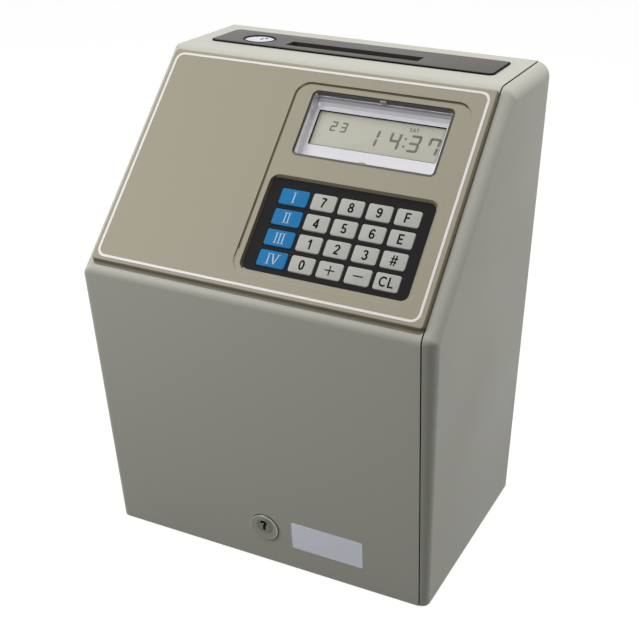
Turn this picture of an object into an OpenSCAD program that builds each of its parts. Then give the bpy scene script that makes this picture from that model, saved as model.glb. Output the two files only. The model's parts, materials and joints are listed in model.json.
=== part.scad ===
// Time clock with a sloping keypad panel, a hinged cover and a card printer inside.
// Millimetres. Z is up, the front faces -Y, X runs to the right.
// The origin is on the floor, at the middle of the footprint.

/* [Case] */
// Outside width of the case
case_w = 222; // [205:1:250]
// Depth from the front kink line to the rear edge of the cover
case_d = 182; // [172:1:210]
// Depth of the cover along its bottom edge
base_d = 154; // [145:1:165]
// Height of the kink line above the bottom edge of the cover
kink_h = 194; // [185:1:220]
// Length of the sloping face from the kink line to the top edge
slope_l = 154.8; // [148:0.1:168]
// Angle of the sloping face from level
slope_a = 45.8; // [44:0.1:48]
// Rounding of the long outside edges
edge_r = 7.5; // [5:0.5:9]
// Wall thickness of the cover
wall = 3; // [2:0.25:4]
// Distance of the right seam from the right side
seam_in = 6; // [5:0.5:12]
// Open width of the seam between the two covers
seam_gap = 0.5; // [0.3:0.1:1]
// Height of the rubber feet
foot_h = 2; // [1:0.5:5]

/* [Front panel] */
// Height of the panel face above the sloping wall
panel_t = 2.4; // [1.6:0.1:3]
// Depth of the shallow recess in the panel
recess_t = 0.7; // [0.3:0.1:1]
// Middle of the display and the keypad, from the middle of the case
opening_x = 40; // [34:0.5:42]
// Width of the display window
window_w = 88; // [80:1:92]
// Height of the display window
window_h = 41.7; // [36:0.1:44]
// Distance from the top edge of the panel to the window
window_drop = 16.4; // [14:0.1:18]
// Width of the visible liquid crystal
lcd_w = 78; // [70:1:79]
// Height of the visible liquid crystal
lcd_h = 22; // [18:0.5:24]
// Depth of the display bezel face behind the sloping wall
lcd_sink = 7.6; // [6:0.1:8.2]
// Width of the keypad opening
keypad_w = 96.5; // [95:0.5:100]
// Height of the keypad opening
keypad_h = 57; // [55.5:0.5:60]
// Distance from the lower edge of the panel to the keypad opening
keypad_rise = 14.9; // [14:0.1:18]

/* [Keys] */
// Width of a white key
key_w = 14.2; // [12:0.1:15]
// Width of a blue key
wide_w = 17.3; // [15:0.1:18]
// Height of every key
key_h = 10.1; // [9:0.1:10.8]
// Key to key distance across
key_px = 16.73; // [16.6:0.01:17.5]
// Key to key distance along the slope
key_pu = 12.97; // [12.5:0.01:13.4]
// Travel of a key
key_travel = 1; // [0.5:0.1:1.4]

/* [Top insert] */
// Length of the dark insert in the top
insert_l = 186.5; // [176:0.5:192]
// Depth of the insert, front to back
insert_d = 35.5; // [32:0.5:38]
// Height of the insert above the top
insert_t = 1.2; // [0.8:0.1:2.5]
// Distance from the rear edge of the cover to the insert
insert_back = 17; // [15.5:0.5:19]
// Length of the card slot
slot_l = 88; // [86:1:92]
// Width of the card slot
slot_w = 7; // [6:0.5:8]
// Distance from the rear edge of the cover to the card
card_back = 37.5; // [37:0.5:39]
// Radius of the key switch ring
switch_r = 10.5; // [9.5:0.25:10.75]

/* [Lock] */
// Radius of the front lock ring
lock_r = 10.3; // [9.6:0.1:12]
// Height of the front lock above the bottom edge
lock_h = 28.5; // [27:0.5:34]
// Barrel radius of both locks
barrel_r = 8; // [7.5:0.1:8.2]
// Radius of the lock plug
plug_r = 5.5; // [5:0.1:6]
// Reach of the lock cam from the lock axis
cam_l = 24; // [21:0.5:25]

/* [Chassis] */
// Thickness of the back plate
back_t = 3; // [2.5:0.5:5]
// Gap between the rear edge of the cover and the back plate
back_gap = 1; // [1:0.25:2]
// Floor thickness of the base pan
pan_t = 2.5; // [2:0.25:4]
// Rim height of the base pan
rim_h = 14; // [10:0.5:15]
// Distance between the wall holes across
wall_sx = 120; // [90:5:130]
// Distance between the wall holes upward
wall_sz = 200; // [180:5:205]
// Radius of a wall hole
wall_hole_r = 2.75; // [2:0.05:4]
// Radius of the cord hole in the gland
cord_r = 3.6; // [2.5:0.1:4]

/* [Printer] */
// Width of the time card
card_w = 86; // [82:0.5:88]
// Open space between the card guides
chute_w = 5; // [4.6:0.1:5.4]
// Distance from the end of the card slot to a side plate
frame_out = 27; // [26:0.5:30]
// Height of the print line above the floor
print_z = 190; // [188:1:192]
// Height of the feed roller axis above the floor
feed_z = 125; // [124:1:126]
// Radius of the feed rollers
feed_r = 9; // [8:0.25:9.5]
// Radius of the pinch rollers
pinch_r = 6; // [5:0.25:6.5]
// Teeth on the feed gear
gear_n = 48; // [46:2:50]
// Teeth on the motor pinion
pinion_n = 16; // [15:1:17]
// Radius of the front carriage shaft
shaft_r = 4; // [3:0.25:4.5]
// Travel of the carriage to each side
carriage_run = 35; // [25:1:35]

/* [Clearances] */
// Gap of a running fit on the radius
run_c = 0.05; // [0.03:0.01:0.08]
// Gap between parts that move past each other
move_c = 0.35; // [0.3:0.05:0.5]
// Gap between faces that are fastened together
face_c = 0.05; // [0.02:0.01:0.08]

/* [Hidden] */

// Case profile
front_b = atan2(case_d - base_d, kink_h);
case_h = kink_h + slope_l * sin(slope_a);
top_d = case_d - slope_l * cos(slope_a);
kink_lead = edge_r * ((sin(slope_a) + cos(front_b)) / (1 + sin(slope_a - front_b)) - 1);
back_stand = back_gap + back_t;
y_rear = (case_d - kink_lead + back_stand) / 2 - back_stand;
y_kink = y_rear - case_d;
y_foot = y_rear - base_d;
y_bp = y_rear + back_gap;
z_bot = foot_h;
z_kink = z_bot + kink_h;
z_top = z_bot + case_h;
half_w = case_w / 2;
seam_x = half_w - seam_in;
over = 40;
n_front = [-cos(front_b), -sin(front_b)];
n_slope = [-sin(slope_a), cos(slope_a)];
n_top = [0, 1];
n_back = [1, 0];
n_down = [0, -1];
function inset(v, n1, n2) = v - edge_r * (n1 + n2) / (1 + n1 * n2);
corners = [inset([y_foot + over * tan(front_b), z_bot - over], n_front, n_down),
  inset([y_kink, z_kink], n_front, n_slope),
  inset([y_rear - top_d, z_top], n_slope, n_top),
  inset([y_rear + over, z_top], n_top, n_back),
  inset([y_rear + over, z_bot - over], n_back, n_down)];

// Panel layout, u is measured up the slope from the kink line
panel_w = case_w - 2 * seam_in - 1.2;
panel_u0 = edge_r * tan((90 - slope_a + front_b) / 2) + 0.4;
panel_u1 = slope_l - edge_r * tan(slope_a / 2) - 0.6;
keypad_x0 = opening_x - keypad_w / 2;
keypad_u0 = panel_u0 + keypad_rise;
keypad_u1 = keypad_u0 + keypad_h;
window_x0 = opening_x - window_w / 2;
window_x1 = opening_x + window_w / 2;
window_u1 = panel_u1 - window_drop;
window_u0 = window_u1 - window_h;
window_u = (window_u0 + window_u1) / 2;
hatch_x0 = keypad_x0 - 6;
hatch_x1 = keypad_x0 + keypad_w + 6;
hatch_u0 = keypad_u0 - 5;
hatch_u1 = window_u1 + 7.5;
plate_m = 3.5;
plate_t = 1.6;
board_n = -lcd_sink - 3.8;
board_t = 1.6;
flange_t = 1.25;
flange_n = -face_c - plate_t - move_c;
stem_n = flange_n - flange_t - 3;
switch_n = flange_n - flange_t - key_travel - 0.6;
key_left = (keypad_w - wide_w - 4 * key_px + (key_px - key_w) - 3.6) / 2 + 0.6;
key_low = (keypad_h - 3 * key_pu - key_h) / 2 - 0.8;
key_rise = 0.65;
key_top = key_rise - face_c;

// Screws
screw_r = 1.2;
head_r = 3;
head_t = 2;
pilot_c = 0.05;
web_t = 3;
web_x = seam_x - 16;
web_in = wall + 9;
panel_xs = [-panel_w / 2 + 9.5, 0, panel_w / 2 - 9.5];
panel_us = [(panel_u0 + hatch_u0) / 2 - 0.5, (panel_u1 + hatch_u1) / 2];
front_hs = [45, kink_h - 22];
top_ys = [y_rear - 13, y_rear - top_d + 13];

// Hinge
hinge_r = 2;
ear_r = 3.6;
hinge_y = y_rear - ear_r - 1.4;
hinge_z = z_top - wall - ear_r - 0.6;
lug_w = 8;
lug_x = half_w - 31;
plate_top = z_top - 13;

// Top insert and card path
insert_x = -1.75;
insert_y1 = y_rear - insert_back;
insert_y0 = insert_y1 - insert_d;
lap = 3.3;
slot_x = -1.5;
card_y = y_rear - card_back;
switch_x = insert_x - insert_l / 2 + switch_r + 16.5;
switch_y = card_y;
insert_z = z_top + insert_t;
seat_z = insert_z - 2;
disc_r = switch_r - 0.65;
nut_af = 22;
nut_h = 3.5;

// Lock strike, standing on the pan floor behind the cam
strike_n = 24;
strike_w = 28;
strike_h0 = 1 - strike_n * tan(front_b);
strike_h1 = lock_h - barrel_r - 7;

// Card printer
frame_x = slot_l / 2 + frame_out;
frame_t = 2;
frame_z0 = 78;
frame_z1 = print_z + 38;
frame_y0 = card_y - 66;
guide_t = 1.5;
chute_h = chute_w / 2;
guide_z0 = 48;
guide_z1 = z_top - 11.5;
guide_w = slot_l + 4;
roller_x = 22;
roller_l = 16;
nip = 0.2;
feed_y = card_y + nip + feed_r;
pinch_y = card_y - nip - pinch_r;
feed_shaft_r = 3;
pinch_shaft_r = 2;
mesh_d = (gear_n + pinion_n) / 2;
pinion_dy = 11.3;
pinion_dz = sqrt(mesh_d * mesh_d - pinion_dy * pinion_dy);
pinion_y = feed_y + pinion_dy;
pinion_z = feed_z - pinion_dz;
mesh_a = atan2(-pinion_dz, pinion_dy);
gear_x1 = slot_x - frame_x - frame_t - 2;
gear_x0 = gear_x1 - 5;
motor_r = 15;
motor_l = 26;
shaft_z = print_z - 26;
shaft_y = card_y - 40;
rear_shaft_y = card_y - 20;
rear_shaft_r = 3;
car_w = 28;
car_z0 = print_z - 33;
car_z1 = print_z - 19;
plate_z = print_z - 50;
pulley_x = carriage_run + 15;
pulley_y = card_y - 30;
pulley_r = 6;
belt_t = 1.2;
belt_z0 = plate_z + 5.3;
belt_z1 = belt_z0 + 7.4;
step_r = 17.5;
step_l = 22;
cas_z0 = print_z + 14;
cas_z1 = cas_z0 + 14;
knob_x = slot_x - 35;
knob_y = card_y - 40;

// Boards and power parts
floor_z = z_bot + pan_t;
post_h = 8;
main_z = floor_z + post_h;
main_x0 = -half_w + 11;
main_x1 = half_w - 91;
main_y0 = y_rear - 118;
main_y1 = y_rear - 12;
chip_h = 3.7;
plug_h = 8.2;
can_h = 16.2;
can_r = 5;
posts = [[main_x0 + 6, main_y0 + 6], [main_x1 - 6, main_y0 + 6],
  [main_x0 + 6, main_y1 - 6], [main_x1 - 6, main_y1 - 6]];
core_x = half_w - 39;
core_y = y_rear - 38;
core_w = 48;
core_d = 24;
core_h = 46;
coil_w = 28;
coil_d = 40;
coil_h = 30;
strap_w = 64;
strap_t = 2.4;
strap_s = 28;
gland_x = half_w - 23;
gland_z = 76;
wall_z = 50;
pan_xs = [31 - half_w, 0, half_w - 31];
vent_x = half_w - 53;

module box(x0, x1, y0, y1, z0, z1) {
  translate([x0, y0, z0]) cube([x1 - x0, y1 - y0, z1 - z0]);
}

module rod_x(x0, x1, y, z, r) {
  translate([x0, y, z]) rotate([0, 90, 0]) cylinder(h = x1 - x0, r = r, $fn = 48);
}

module rod_y(y0, y1, x, z, r) {
  translate([x, y0, z]) rotate([-90, 0, 0]) cylinder(h = y1 - y0, r = r, $fn = 48);
}

module rod_z(z0, z1, x, y, r) {
  translate([x, y, z0]) cylinder(h = z1 - z0, r = r, $fn = 48);
}

// Flat plate with rounded corners
module slab(x0, x1, y0, y1, z0, z1, r) {
  translate([0, 0, z0]) linear_extrude(height = z1 - z0) {
    translate([x0 + r, y0]) square([x1 - x0 - 2 * r, y1 - y0]);
    translate([x0, y0 + r]) square([x1 - x0, y1 - y0 - 2 * r]);
    for (x = [x0 + r, x1 - r], y = [y0 + r, y1 - r]) {
      translate([x, y]) circle(r = r, $fn = 32);
    }
  }
}

// Frame on the sloping face: x across, y up the slope, z outward
module on_slope() {
  translate([0, y_kink, z_kink]) rotate([slope_a, 0, 0]) children();
}

// Frame on the lower front: x across, y up from the bottom edge, z outward
module on_front() {
  translate([0, y_foot, z_bot]) rotate([90 + front_b, 0, 0]) children();
}

// Outside form of the case, or its inside form when shrunk by the wall
module case_form(shrink) {
  hull() {
    for (s = [-1, 1], c = corners) {
      translate([s * (half_w - edge_r), c[0], c[1]]) sphere(r = edge_r - shrink, $fn = 32);
    }
  }
}

module hex_nut(z0) {
  difference() {
    translate([0, 0, z0]) cylinder(h = nut_h, r = nut_af / 2 / cos(30), $fn = 6);
    rod_z(z0 - 1, z0 + nut_h + 1, 0, 0, barrel_r + 0.03);
  }
}

// Screw with its head below z = 0 and its shank pointing up
module screw_up(l) {
  translate([0, 0, -head_t]) cylinder(h = head_t, r = head_r, $fn = 32);
  cylinder(h = l, r = screw_r, $fn = 24);
}

module cover_shell(x0, x1) {
  difference() {
    intersection() {
      case_form(0);
      box(x0, x1, y_kink - 10, y_rear, z_bot, z_top + 10);
    }
    case_form(wall);
  }
}

module main_cover() {
  color([0.72, 0.72, 0.68]) difference() {
    union() {
      cover_shell(-half_w - 1, seam_x - seam_gap / 2);
      on_front() for (h = front_hs) {
        box(web_x, web_x + web_t, h - 6, h + 6, -web_in - 6, -0.6);
      }
      for (y = top_ys) {
        box(web_x, web_x + web_t, y - 6, y + 6, z_top - web_in - 6, z_top - 0.6);
      }
      for (s = [-1, 1]) {
        rod_x(s * lug_x - lug_w / 2, s * lug_x + lug_w / 2, hinge_y, hinge_z, ear_r);
        box(s * lug_x - lug_w / 2, s * lug_x + lug_w / 2, hinge_y - ear_r, hinge_y + ear_r, hinge_z,
          z_top - 1);
      }
    }
    on_slope() {
      slab(hatch_x0, hatch_x1, hatch_u0, hatch_u1, -30, 5, 3);
      for (x = panel_xs, u = panel_us) {
        rod_z(-wall - 2, 2, x, u, 2.8);
      }
    }
    on_front() {
      rod_z(-wall - 2, 2, 0, lock_h, barrel_r + 0.3);
      for (h = front_hs) {
        rod_x(web_x - 1, web_x + web_t + 1, h, -web_in, screw_r + 0.4);
      }
    }
    for (y = top_ys) {
      rod_x(web_x - 1, web_x + web_t + 1, y, z_top - web_in, screw_r + 0.4);
    }
    slab(insert_x - insert_l / 2 + lap, insert_x + insert_l / 2 - lap, insert_y0 + lap, insert_y1 - lap,
      z_top - wall - 1, z_top + 2, 2);
    for (s = [-1, 1]) {
      rod_x(s * lug_x - lug_w, s * lug_x + lug_w, hinge_y, hinge_z, hinge_r + run_c);
    }
  }
}

module cover_boss(y, z) {
  rod_x(web_x + web_t + face_c, half_w - 1, y, z, 4);
}

module boss_bore(y, z) {
  rod_x(web_x + web_t - 1, web_x + web_t + 10, y, z, screw_r + pilot_c);
}

module right_cover() {
  color([0.66, 0.66, 0.62]) difference() {
    union() {
      cover_shell(seam_x + seam_gap / 2, half_w + 1);
      on_front() for (h = front_hs) {
        cover_boss(h, -web_in);
      }
      for (y = top_ys) {
        cover_boss(y, z_top - web_in);
      }
    }
    on_front() for (h = front_hs) {
      boss_bore(h, -web_in);
    }
    for (y = top_ys) {
      boss_bore(y, z_top - web_in);
    }
  }
}

module hood_screws() {
  color([0.6, 0.6, 0.62]) {
    on_slope() for (x = panel_xs, u = panel_us) {
      translate([x, u, -wall - face_c]) screw_up(wall + 1);
    }
    on_front() for (h = front_hs) {
      translate([web_x - face_c, h, -web_in]) rotate([0, 90, 0]) screw_up(10);
    }
    for (y = top_ys) {
      translate([web_x - face_c, y, z_top - web_in]) rotate([0, 90, 0]) screw_up(10);
    }
  }
}

module front_panel() {
  color([0.62, 0.59, 0.5]) on_slope() difference() {
    union() {
      slab(-panel_w / 2, panel_w / 2, panel_u0, panel_u1, face_c, panel_t, 2.5);
      for (x = panel_xs, u = panel_us) {
        rod_z(0.2 - wall, face_c + 0.5, x, u, 2.5);
      }
    }
    slab(keypad_x0 - 6, keypad_x0 + keypad_w + 5, keypad_u0 - 4, window_u1 + 4.2,
      panel_t - recess_t, panel_t + 1, 9);
    slab(window_x0, window_x1, window_u0, window_u1, -1, panel_t + 1, 3.5);
    slab(keypad_x0, keypad_x0 + keypad_w, keypad_u0, keypad_u1, -1, panel_t + 1, 3.5);
    for (x = panel_xs, u = panel_us) {
      rod_z(-wall, 1.4, x, u, screw_r + pilot_c);
    }
  }
}

module display_window() {
  color([0.8, 0.84, 0.84, 0.35]) on_slope() {
    slab(window_x0 + 0.2, window_x1 - 0.2, window_u0 + 0.2, window_u1 - 0.2, face_c,
      panel_t - recess_t - 0.1, 3.3);
  }
}

module display_bezel() {
  color([0.8, 0.8, 0.82]) on_slope() difference() {
    union() {
      slab(window_x0 - 4.5, window_x1 + 4.5, window_u0 - 4.5, window_u1 + 4.5, -1.2, 0, 2);
      slab(window_x0 + 2, window_x1 - 2, window_u0 + 2, window_u1 - 2, board_n, -0.6, 2);
    }
    slab(window_x0 + 3.2, window_x1 - 3.2, window_u0 + 3.2, window_u1 - 3.2, -lcd_sink, 1, 1);
    box(opening_x - lcd_w / 2, opening_x + lcd_w / 2, window_u - lcd_h / 2, window_u + lcd_h / 2, -20, 1);
    slab(window_x0 + 3.2, window_x1 - 3.2, window_u0 + 3.2, window_u1 - 3.2, board_n - 1,
      -lcd_sink - 1.2, 1);
  }
}

module display_glass() {
  color([0.62, 0.64, 0.56]) on_slope() {
    box(window_x0 + 3.5, window_x1 - 3.5, window_u0 + 4.5, window_u1 - 4.5, -lcd_sink - 3,
      -lcd_sink - 1.2 - face_c);
  }
}

// Left edge and lower edge of a key, column 0 is the wide blue one
function key_x(c) = keypad_x0 + key_left + (c == 0 ? 0 : wide_w + 3.6 + (c - 1) * key_px);
function key_u(r) = keypad_u0 + key_low + r * key_pu;
function cap_w(c) = c == 0 ? wide_w : key_w;

module key_plate() {
  color([0.12, 0.11, 0.11]) on_slope() {
    difference() {
      slab(keypad_x0 - plate_m, keypad_x0 + keypad_w + plate_m, keypad_u0 - plate_m, keypad_u1 + plate_m,
        -face_c - plate_t, -face_c, 2);
      for (c = [0 : 4], r = [0 : 3]) {
        box(key_x(c) - move_c, key_x(c) + cap_w(c) + move_c, key_u(r) - move_c,
          key_u(r) + key_h + move_c, -10, 5);
      }
    }
    for (x = [keypad_x0 - 0.5, keypad_x0 + keypad_w + 0.5], u = [keypad_u0 - 0.5, keypad_u1 + 0.5]) {
      rod_z(board_n, -plate_t, x, u, 2);
    }
  }
}

module front_board() {
  color([0.1, 0.35, 0.2]) on_slope() difference() {
    union() {
      box(keypad_x0 - 3, keypad_x0 + keypad_w + 3, keypad_u0 - 3, window_u1 + 4, board_n - board_t,
        board_n);
      for (c = [0 : 4], r = [0 : 3]) {
        translate([key_x(c) + cap_w(c) / 2 - 3, key_u(r) + key_h / 2 - 3, board_n - 0.1])
          cube([6, 6, switch_n - board_n + 0.1]);
      }
      box(opening_x - 30, opening_x + 4, keypad_u1 + 4, keypad_u1 + 10, board_n - board_t - 6,
        board_n - board_t);
    }
    for (c = [0 : 4], r = [0 : 3]) {
      rod_z(stem_n - key_travel - 0.6, switch_n + 1, key_x(c) + cap_w(c) / 2, key_u(r) + key_h / 2,
        1.5 + move_c);
    }
  }
}

// One key: cap through the plate, retaining flange behind it, stem into its switch
module key_cap(c, r, tint) {
  x0 = key_x(c);
  x1 = x0 + cap_w(c);
  u0 = key_u(r);
  u1 = u0 + key_h;
  color(tint) on_slope() {
    slab(x0, x1, u0, u1, flange_n - 0.2, key_top, 1);
    box(x0 - 0.8, x1 + 0.8, u0 - 0.8, u1 + 0.8, flange_n - flange_t, flange_n);
    rod_z(stem_n, flange_n - flange_t + 0.2, (x0 + x1) / 2, (u0 + u1) / 2, 1.5);
  }
}

white = [0.8, 0.8, 0.77];
blue = [0.13, 0.5, 0.75];
module key_i() { key_cap(0, 3, blue); }
module key_ii() { key_cap(0, 2, blue); }
module key_iii() { key_cap(0, 1, blue); }
module key_iv() { key_cap(0, 0, blue); }
module key_7() { key_cap(1, 3, white); }
module key_8() { key_cap(2, 3, white); }
module key_9() { key_cap(3, 3, white); }
module key_f() { key_cap(4, 3, white); }
module key_4() { key_cap(1, 2, white); }
module key_5() { key_cap(2, 2, white); }
module key_6() { key_cap(3, 2, white); }
module key_e() { key_cap(4, 2, white); }
module key_1() { key_cap(1, 1, white); }
module key_2() { key_cap(2, 1, white); }
module key_3() { key_cap(3, 1, white); }
module key_hash() { key_cap(4, 1, white); }
module key_0() { key_cap(1, 0, white); }
module key_plus() { key_cap(2, 0, white); }
module key_minus() { key_cap(3, 0, white); }
module key_cl() { key_cap(4, 0, white); }

module top_insert() {
  color([0.4, 0.38, 0.37]) difference() {
    union() {
      slab(insert_x - insert_l / 2, insert_x + insert_l / 2, insert_y0, insert_y1, z_top + face_c,
        insert_z, 3);
      slab(insert_x - insert_l / 2 + lap + 0.3, insert_x + insert_l / 2 - lap - 0.3, insert_y0 + lap + 0.3,
        insert_y1 - lap - 0.3, z_top - 1.8, z_top + face_c + 0.2, 1.7);
      box(slot_x - slot_l / 2 - 2, slot_x + slot_l / 2 + 2, card_y - slot_w / 2 - 2,
        card_y + slot_w / 2 + 2,
        z_top - 9, z_top);
    }
    box(slot_x - slot_l / 2, slot_x + slot_l / 2, card_y - slot_w / 2, card_y + slot_w / 2, z_top - 12,
      z_top + 9);
    rod_z(z_top - 5, z_top + 9, switch_x, switch_y, barrel_r + 0.3);
    rod_z(seat_z, z_top + 9, switch_x, switch_y, switch_r + 0.3);
  }
}

module switch_housing() {
  color([0.08, 0.08, 0.08]) difference() {
    union() {
      rod_z(seat_z + face_c, insert_z + 0.1, switch_x, switch_y, switch_r);
      rod_z(z_top - 14, seat_z + 0.5, switch_x, switch_y, barrel_r);
    }
    rod_z(seat_z + 0.6, insert_z + 3, switch_x, switch_y, disc_r);
    rod_z(z_top - 16, insert_z + 3, switch_x, switch_y, plug_r + run_c);
  }
}

module switch_rotor() {
  color([0.85, 0.85, 0.84]) difference() {
    union() {
      rod_z(seat_z + 0.6 + move_c, insert_z - 0.5, switch_x, switch_y, disc_r - move_c);
      rod_z(z_top - 17.5, insert_z - 0.8, switch_x, switch_y, plug_r);
      rod_z(z_top - 17.5, z_top - 14 - move_c, switch_x, switch_y, plug_r + 2);
    }
    box(switch_x - 0.7, switch_x + 0.7, switch_y - 4, switch_y + 4, insert_z - 6, insert_z + 3);
  }
}

module lock_housing() {
  color([0.78, 0.78, 0.79]) on_front() translate([0, lock_h, 0]) difference() {
    union() {
      rod_z(face_c, 1.8, 0, 0, lock_r);
      rod_z(2 - strike_n, 1, 0, 0, barrel_r);
    }
    translate([0, 0, 0.5]) cylinder(h = 2, r1 = plug_r + 1, r2 = lock_r - 0.4, $fn = 48);
    rod_z(-24, 3, 0, 0, plug_r + run_c);
  }
}

module lock_plug() {
  color([0.7, 0.69, 0.66]) on_front() translate([0, lock_h, 0]) difference() {
    union() {
      rod_z(1.6 - strike_n, 0.9, 0, 0, plug_r);
      rod_z(-strike_n - 2.4, 2 - strike_n, 0, 0, 3.5);
      rod_z(-strike_n - 4, -strike_n - 2.1, 0, 0, 5);
    }
    box(-0.8, 0.8, -4, 4, -10, 2);
  }
}

module lock_cam() {
  color([0.62, 0.62, 0.64]) on_front() translate([0, lock_h, 0]) difference() {
    slab(-6, cam_l, -6, 6, -strike_n - 2, -strike_n, 4);
    rod_z(-30, -20, 0, 0, 3.52);
  }
}

module lock_nuts() {
  color([0.7, 0.7, 0.7]) {
    on_front() translate([0, lock_h, 0]) hex_nut(-wall - 0.1 - nut_h);
    translate([switch_x, switch_y, 0]) hex_nut(z_top - 1.85 - nut_h);
  }
}

// Side view of the base pan, extruded across
module pan_form(x0, x1, z0, z1, gap) {
  f = wall + gap;
  s = f / cos(front_b);
  translate([x0, 0, 0]) rotate([90, 0, 90]) linear_extrude(height = x1 - x0)
    polygon([[y_foot + s - (z0 - z_bot) * tan(front_b), z0], [y_bp - (gap - 2), z0],
      [y_bp - (gap - 2), z1], [y_foot + s - (z1 - z_bot) * tan(front_b), z1]]);
}

module base_pan() {
  pan_x = half_w - wall - 2;
  color([0.5, 0.5, 0.5]) difference() {
    union() {
      difference() {
        pan_form(-pan_x, pan_x, z_bot, z_bot + rim_h, 2);
        pan_form(-pan_x + 2, pan_x - 2, floor_z, z_bot + rim_h + 1, 4);
      }
      for (p = posts) {
        rod_z(floor_z - 1, main_z, p[0], p[1], 3.5);
      }
      on_front() box(-strike_w / 2, strike_w / 2, strike_h0, strike_h1, -strike_n + move_c, -strike_n + 2);
    }
    for (p = posts) {
      rod_z(floor_z, main_z + 1, p[0], p[1], screw_r + pilot_c);
    }
    for (x = pan_xs) {
      rod_y(y_bp - 4, y_bp + 1, x, z_bot + 8, screw_r + pilot_c);
    }
  }
}

module back_plate() {
  bw = half_w - 2.5;
  color([0.55, 0.55, 0.56]) {
    difference() {
      union() {
        box(-bw, bw, y_bp, y_bp + back_t, z_bot, plate_top);
        box(-bw + 8, lug_x - lug_w / 2 - 2, y_rear - 12, y_bp + 1, plate_top - 1.5, plate_top);
        box(-bw + 8, lug_x - lug_w / 2 - 2, y_rear - 12, y_rear - 10.5, plate_top - 1.5,
          z_top - wall - 1.5);
        for (s = [-1, 1]) {
          box(s * (lug_x + lug_w / 2 + move_c + 1.5) - 1.5, s * (lug_x + lug_w / 2 + move_c + 1.5) + 1.5,
            hinge_y - ear_r, hinge_y + ear_r, plate_top - 45, hinge_z);
          box(s * (lug_x + lug_w / 2 + move_c + 1.5) - 1.5, s * (lug_x + lug_w / 2 + move_c + 1.5) + 1.5,
            hinge_y - ear_r, y_bp + 1, plate_top - 45, plate_top);
          rod_x(s * (lug_x + lug_w / 2 + move_c + 1.5) - 1.5, s * (lug_x + lug_w / 2 + move_c + 1.5) + 1.5,
            hinge_y, hinge_z, ear_r);
          rod_x(min(s * (lug_x - lug_w / 2), s * (lug_x + lug_w / 2 + 2)),
            max(s * (lug_x - lug_w / 2), s * (lug_x + lug_w / 2 + 2)), hinge_y, hinge_z, hinge_r);
        }
      }
      for (sx = [-1, 1], sz = [0, 1]) {
        rod_y(y_bp - 5, y_bp + back_t + 1, sx * wall_sx / 2, wall_z + sz * wall_sz, wall_hole_r);
      }
      rod_y(y_bp - 5, y_bp + back_t + 1, gland_x, gland_z, 6 + run_c);
      for (x = pan_xs) {
        rod_y(y_bp - 1, y_bp + back_t + 1, x, z_bot + 8, screw_r + 0.4);
        rod_y(y_bp + back_t - head_t - 0.2, y_bp + back_t + 1, x, z_bot + 8, head_r + 0.3);
      }
      for (i = [0 : 5]) {
        box(vent_x + 6 * i, vent_x + 3 + 6 * i, y_bp - 1, y_bp + back_t + 1, gland_z + 20, gland_z + 60);
      }
    }
  }
}

module feet() {
  color([0.1, 0.1, 0.1]) {
    for (s = [-1, 1], y = [y_foot + 24, y_rear - 14]) {
      rod_z(0, foot_h, s * (half_w - 22), y, 7);
    }
  }
}

// Side plates, motor plate, rear flanges, cassette ledges and idler pin in one bent frame
module mech_frame() {
  color([0.66, 0.66, 0.68]) difference() {
    union() {
      for (s = [-1, 1]) {
        box(slot_x + s * (frame_x + frame_t / 2) - frame_t / 2,
          slot_x + s * (frame_x + frame_t / 2) + frame_t / 2,
          frame_y0, y_bp, frame_z0, frame_z1);
        box(slot_x + s * (frame_x + 7) - 7, slot_x + s * (frame_x + 7) + 7, y_bp - frame_t, y_bp,
          frame_z0 + 60, frame_z1);
        box(slot_x + s * (frame_x - 8) - 8.5, slot_x + s * (frame_x - 8) + 8.5, card_y - 50, card_y - 30,
          cas_z0 - frame_t, cas_z0);
      }
      box(slot_x - frame_x - 0.5, slot_x + frame_x + 0.5, card_y - 49, card_y - 8, plate_z,
        plate_z + frame_t);
      rod_z(plate_z + 1, plate_z + 15, slot_x - pulley_x, pulley_y, 2);
    }
    for (s = [-1, 1]) {
      translate([slot_x + s * (frame_x + 1), 0, 0]) {
        rod_x(-4, 4, shaft_y, shaft_z, shaft_r + 0.02);
        rod_x(-4, 4, rear_shaft_y, shaft_z, rear_shaft_r + 0.02);
        rod_x(-4, 4, feed_y, feed_z, feed_shaft_r + run_c);
        rod_x(-4, 4, pinch_y, feed_z, pinch_shaft_r + run_c);
      }
      box(slot_x + s * (frame_x + 1) - 3, slot_x + s * (frame_x + 1) + 3, frame_y0 + 10, card_y - 16,
        frame_z0 + 12, plate_z - 8);
    }
    rod_x(slot_x - frame_x - 5, slot_x - frame_x + 2, pinion_y, pinion_z, 5);
    rod_z(plate_z - 2, plate_z + 6, slot_x + pulley_x, pulley_y, 6);
  }
}

// One card guide plate, s = -1 in front of the card and 1 behind it
module guide_sheet(s, win_h) {
  y0 = card_y + s * (chute_h + guide_t / 2) - guide_t / 2;
  y1 = y0 + guide_t;
  difference() {
    union() {
      box(slot_x - guide_w / 2, slot_x + guide_w / 2, y0, y1, guide_z0, guide_z1);
      box(slot_x - frame_x, slot_x + frame_x, y0, y1, frame_z1 - 7, frame_z1);
      box(slot_x - frame_x, slot_x + frame_x, y0, y1, frame_z0 + 2, frame_z0 + 10);
    }
    box(slot_x - 40, slot_x + 40, y0 - 1, y1 + 1, print_z - 8, print_z + 8);
    for (x = [-roller_x, roller_x]) {
      box(slot_x + x - roller_l / 2 - 1, slot_x + x + roller_l / 2 + 1, y0 - 1, y1 + 1, feed_z - win_h,
        feed_z + win_h);
    }
  }
}

module guide_front() {
  color([0.7, 0.7, 0.72]) guide_sheet(-1, pinch_r + 0.8);
}

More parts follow.
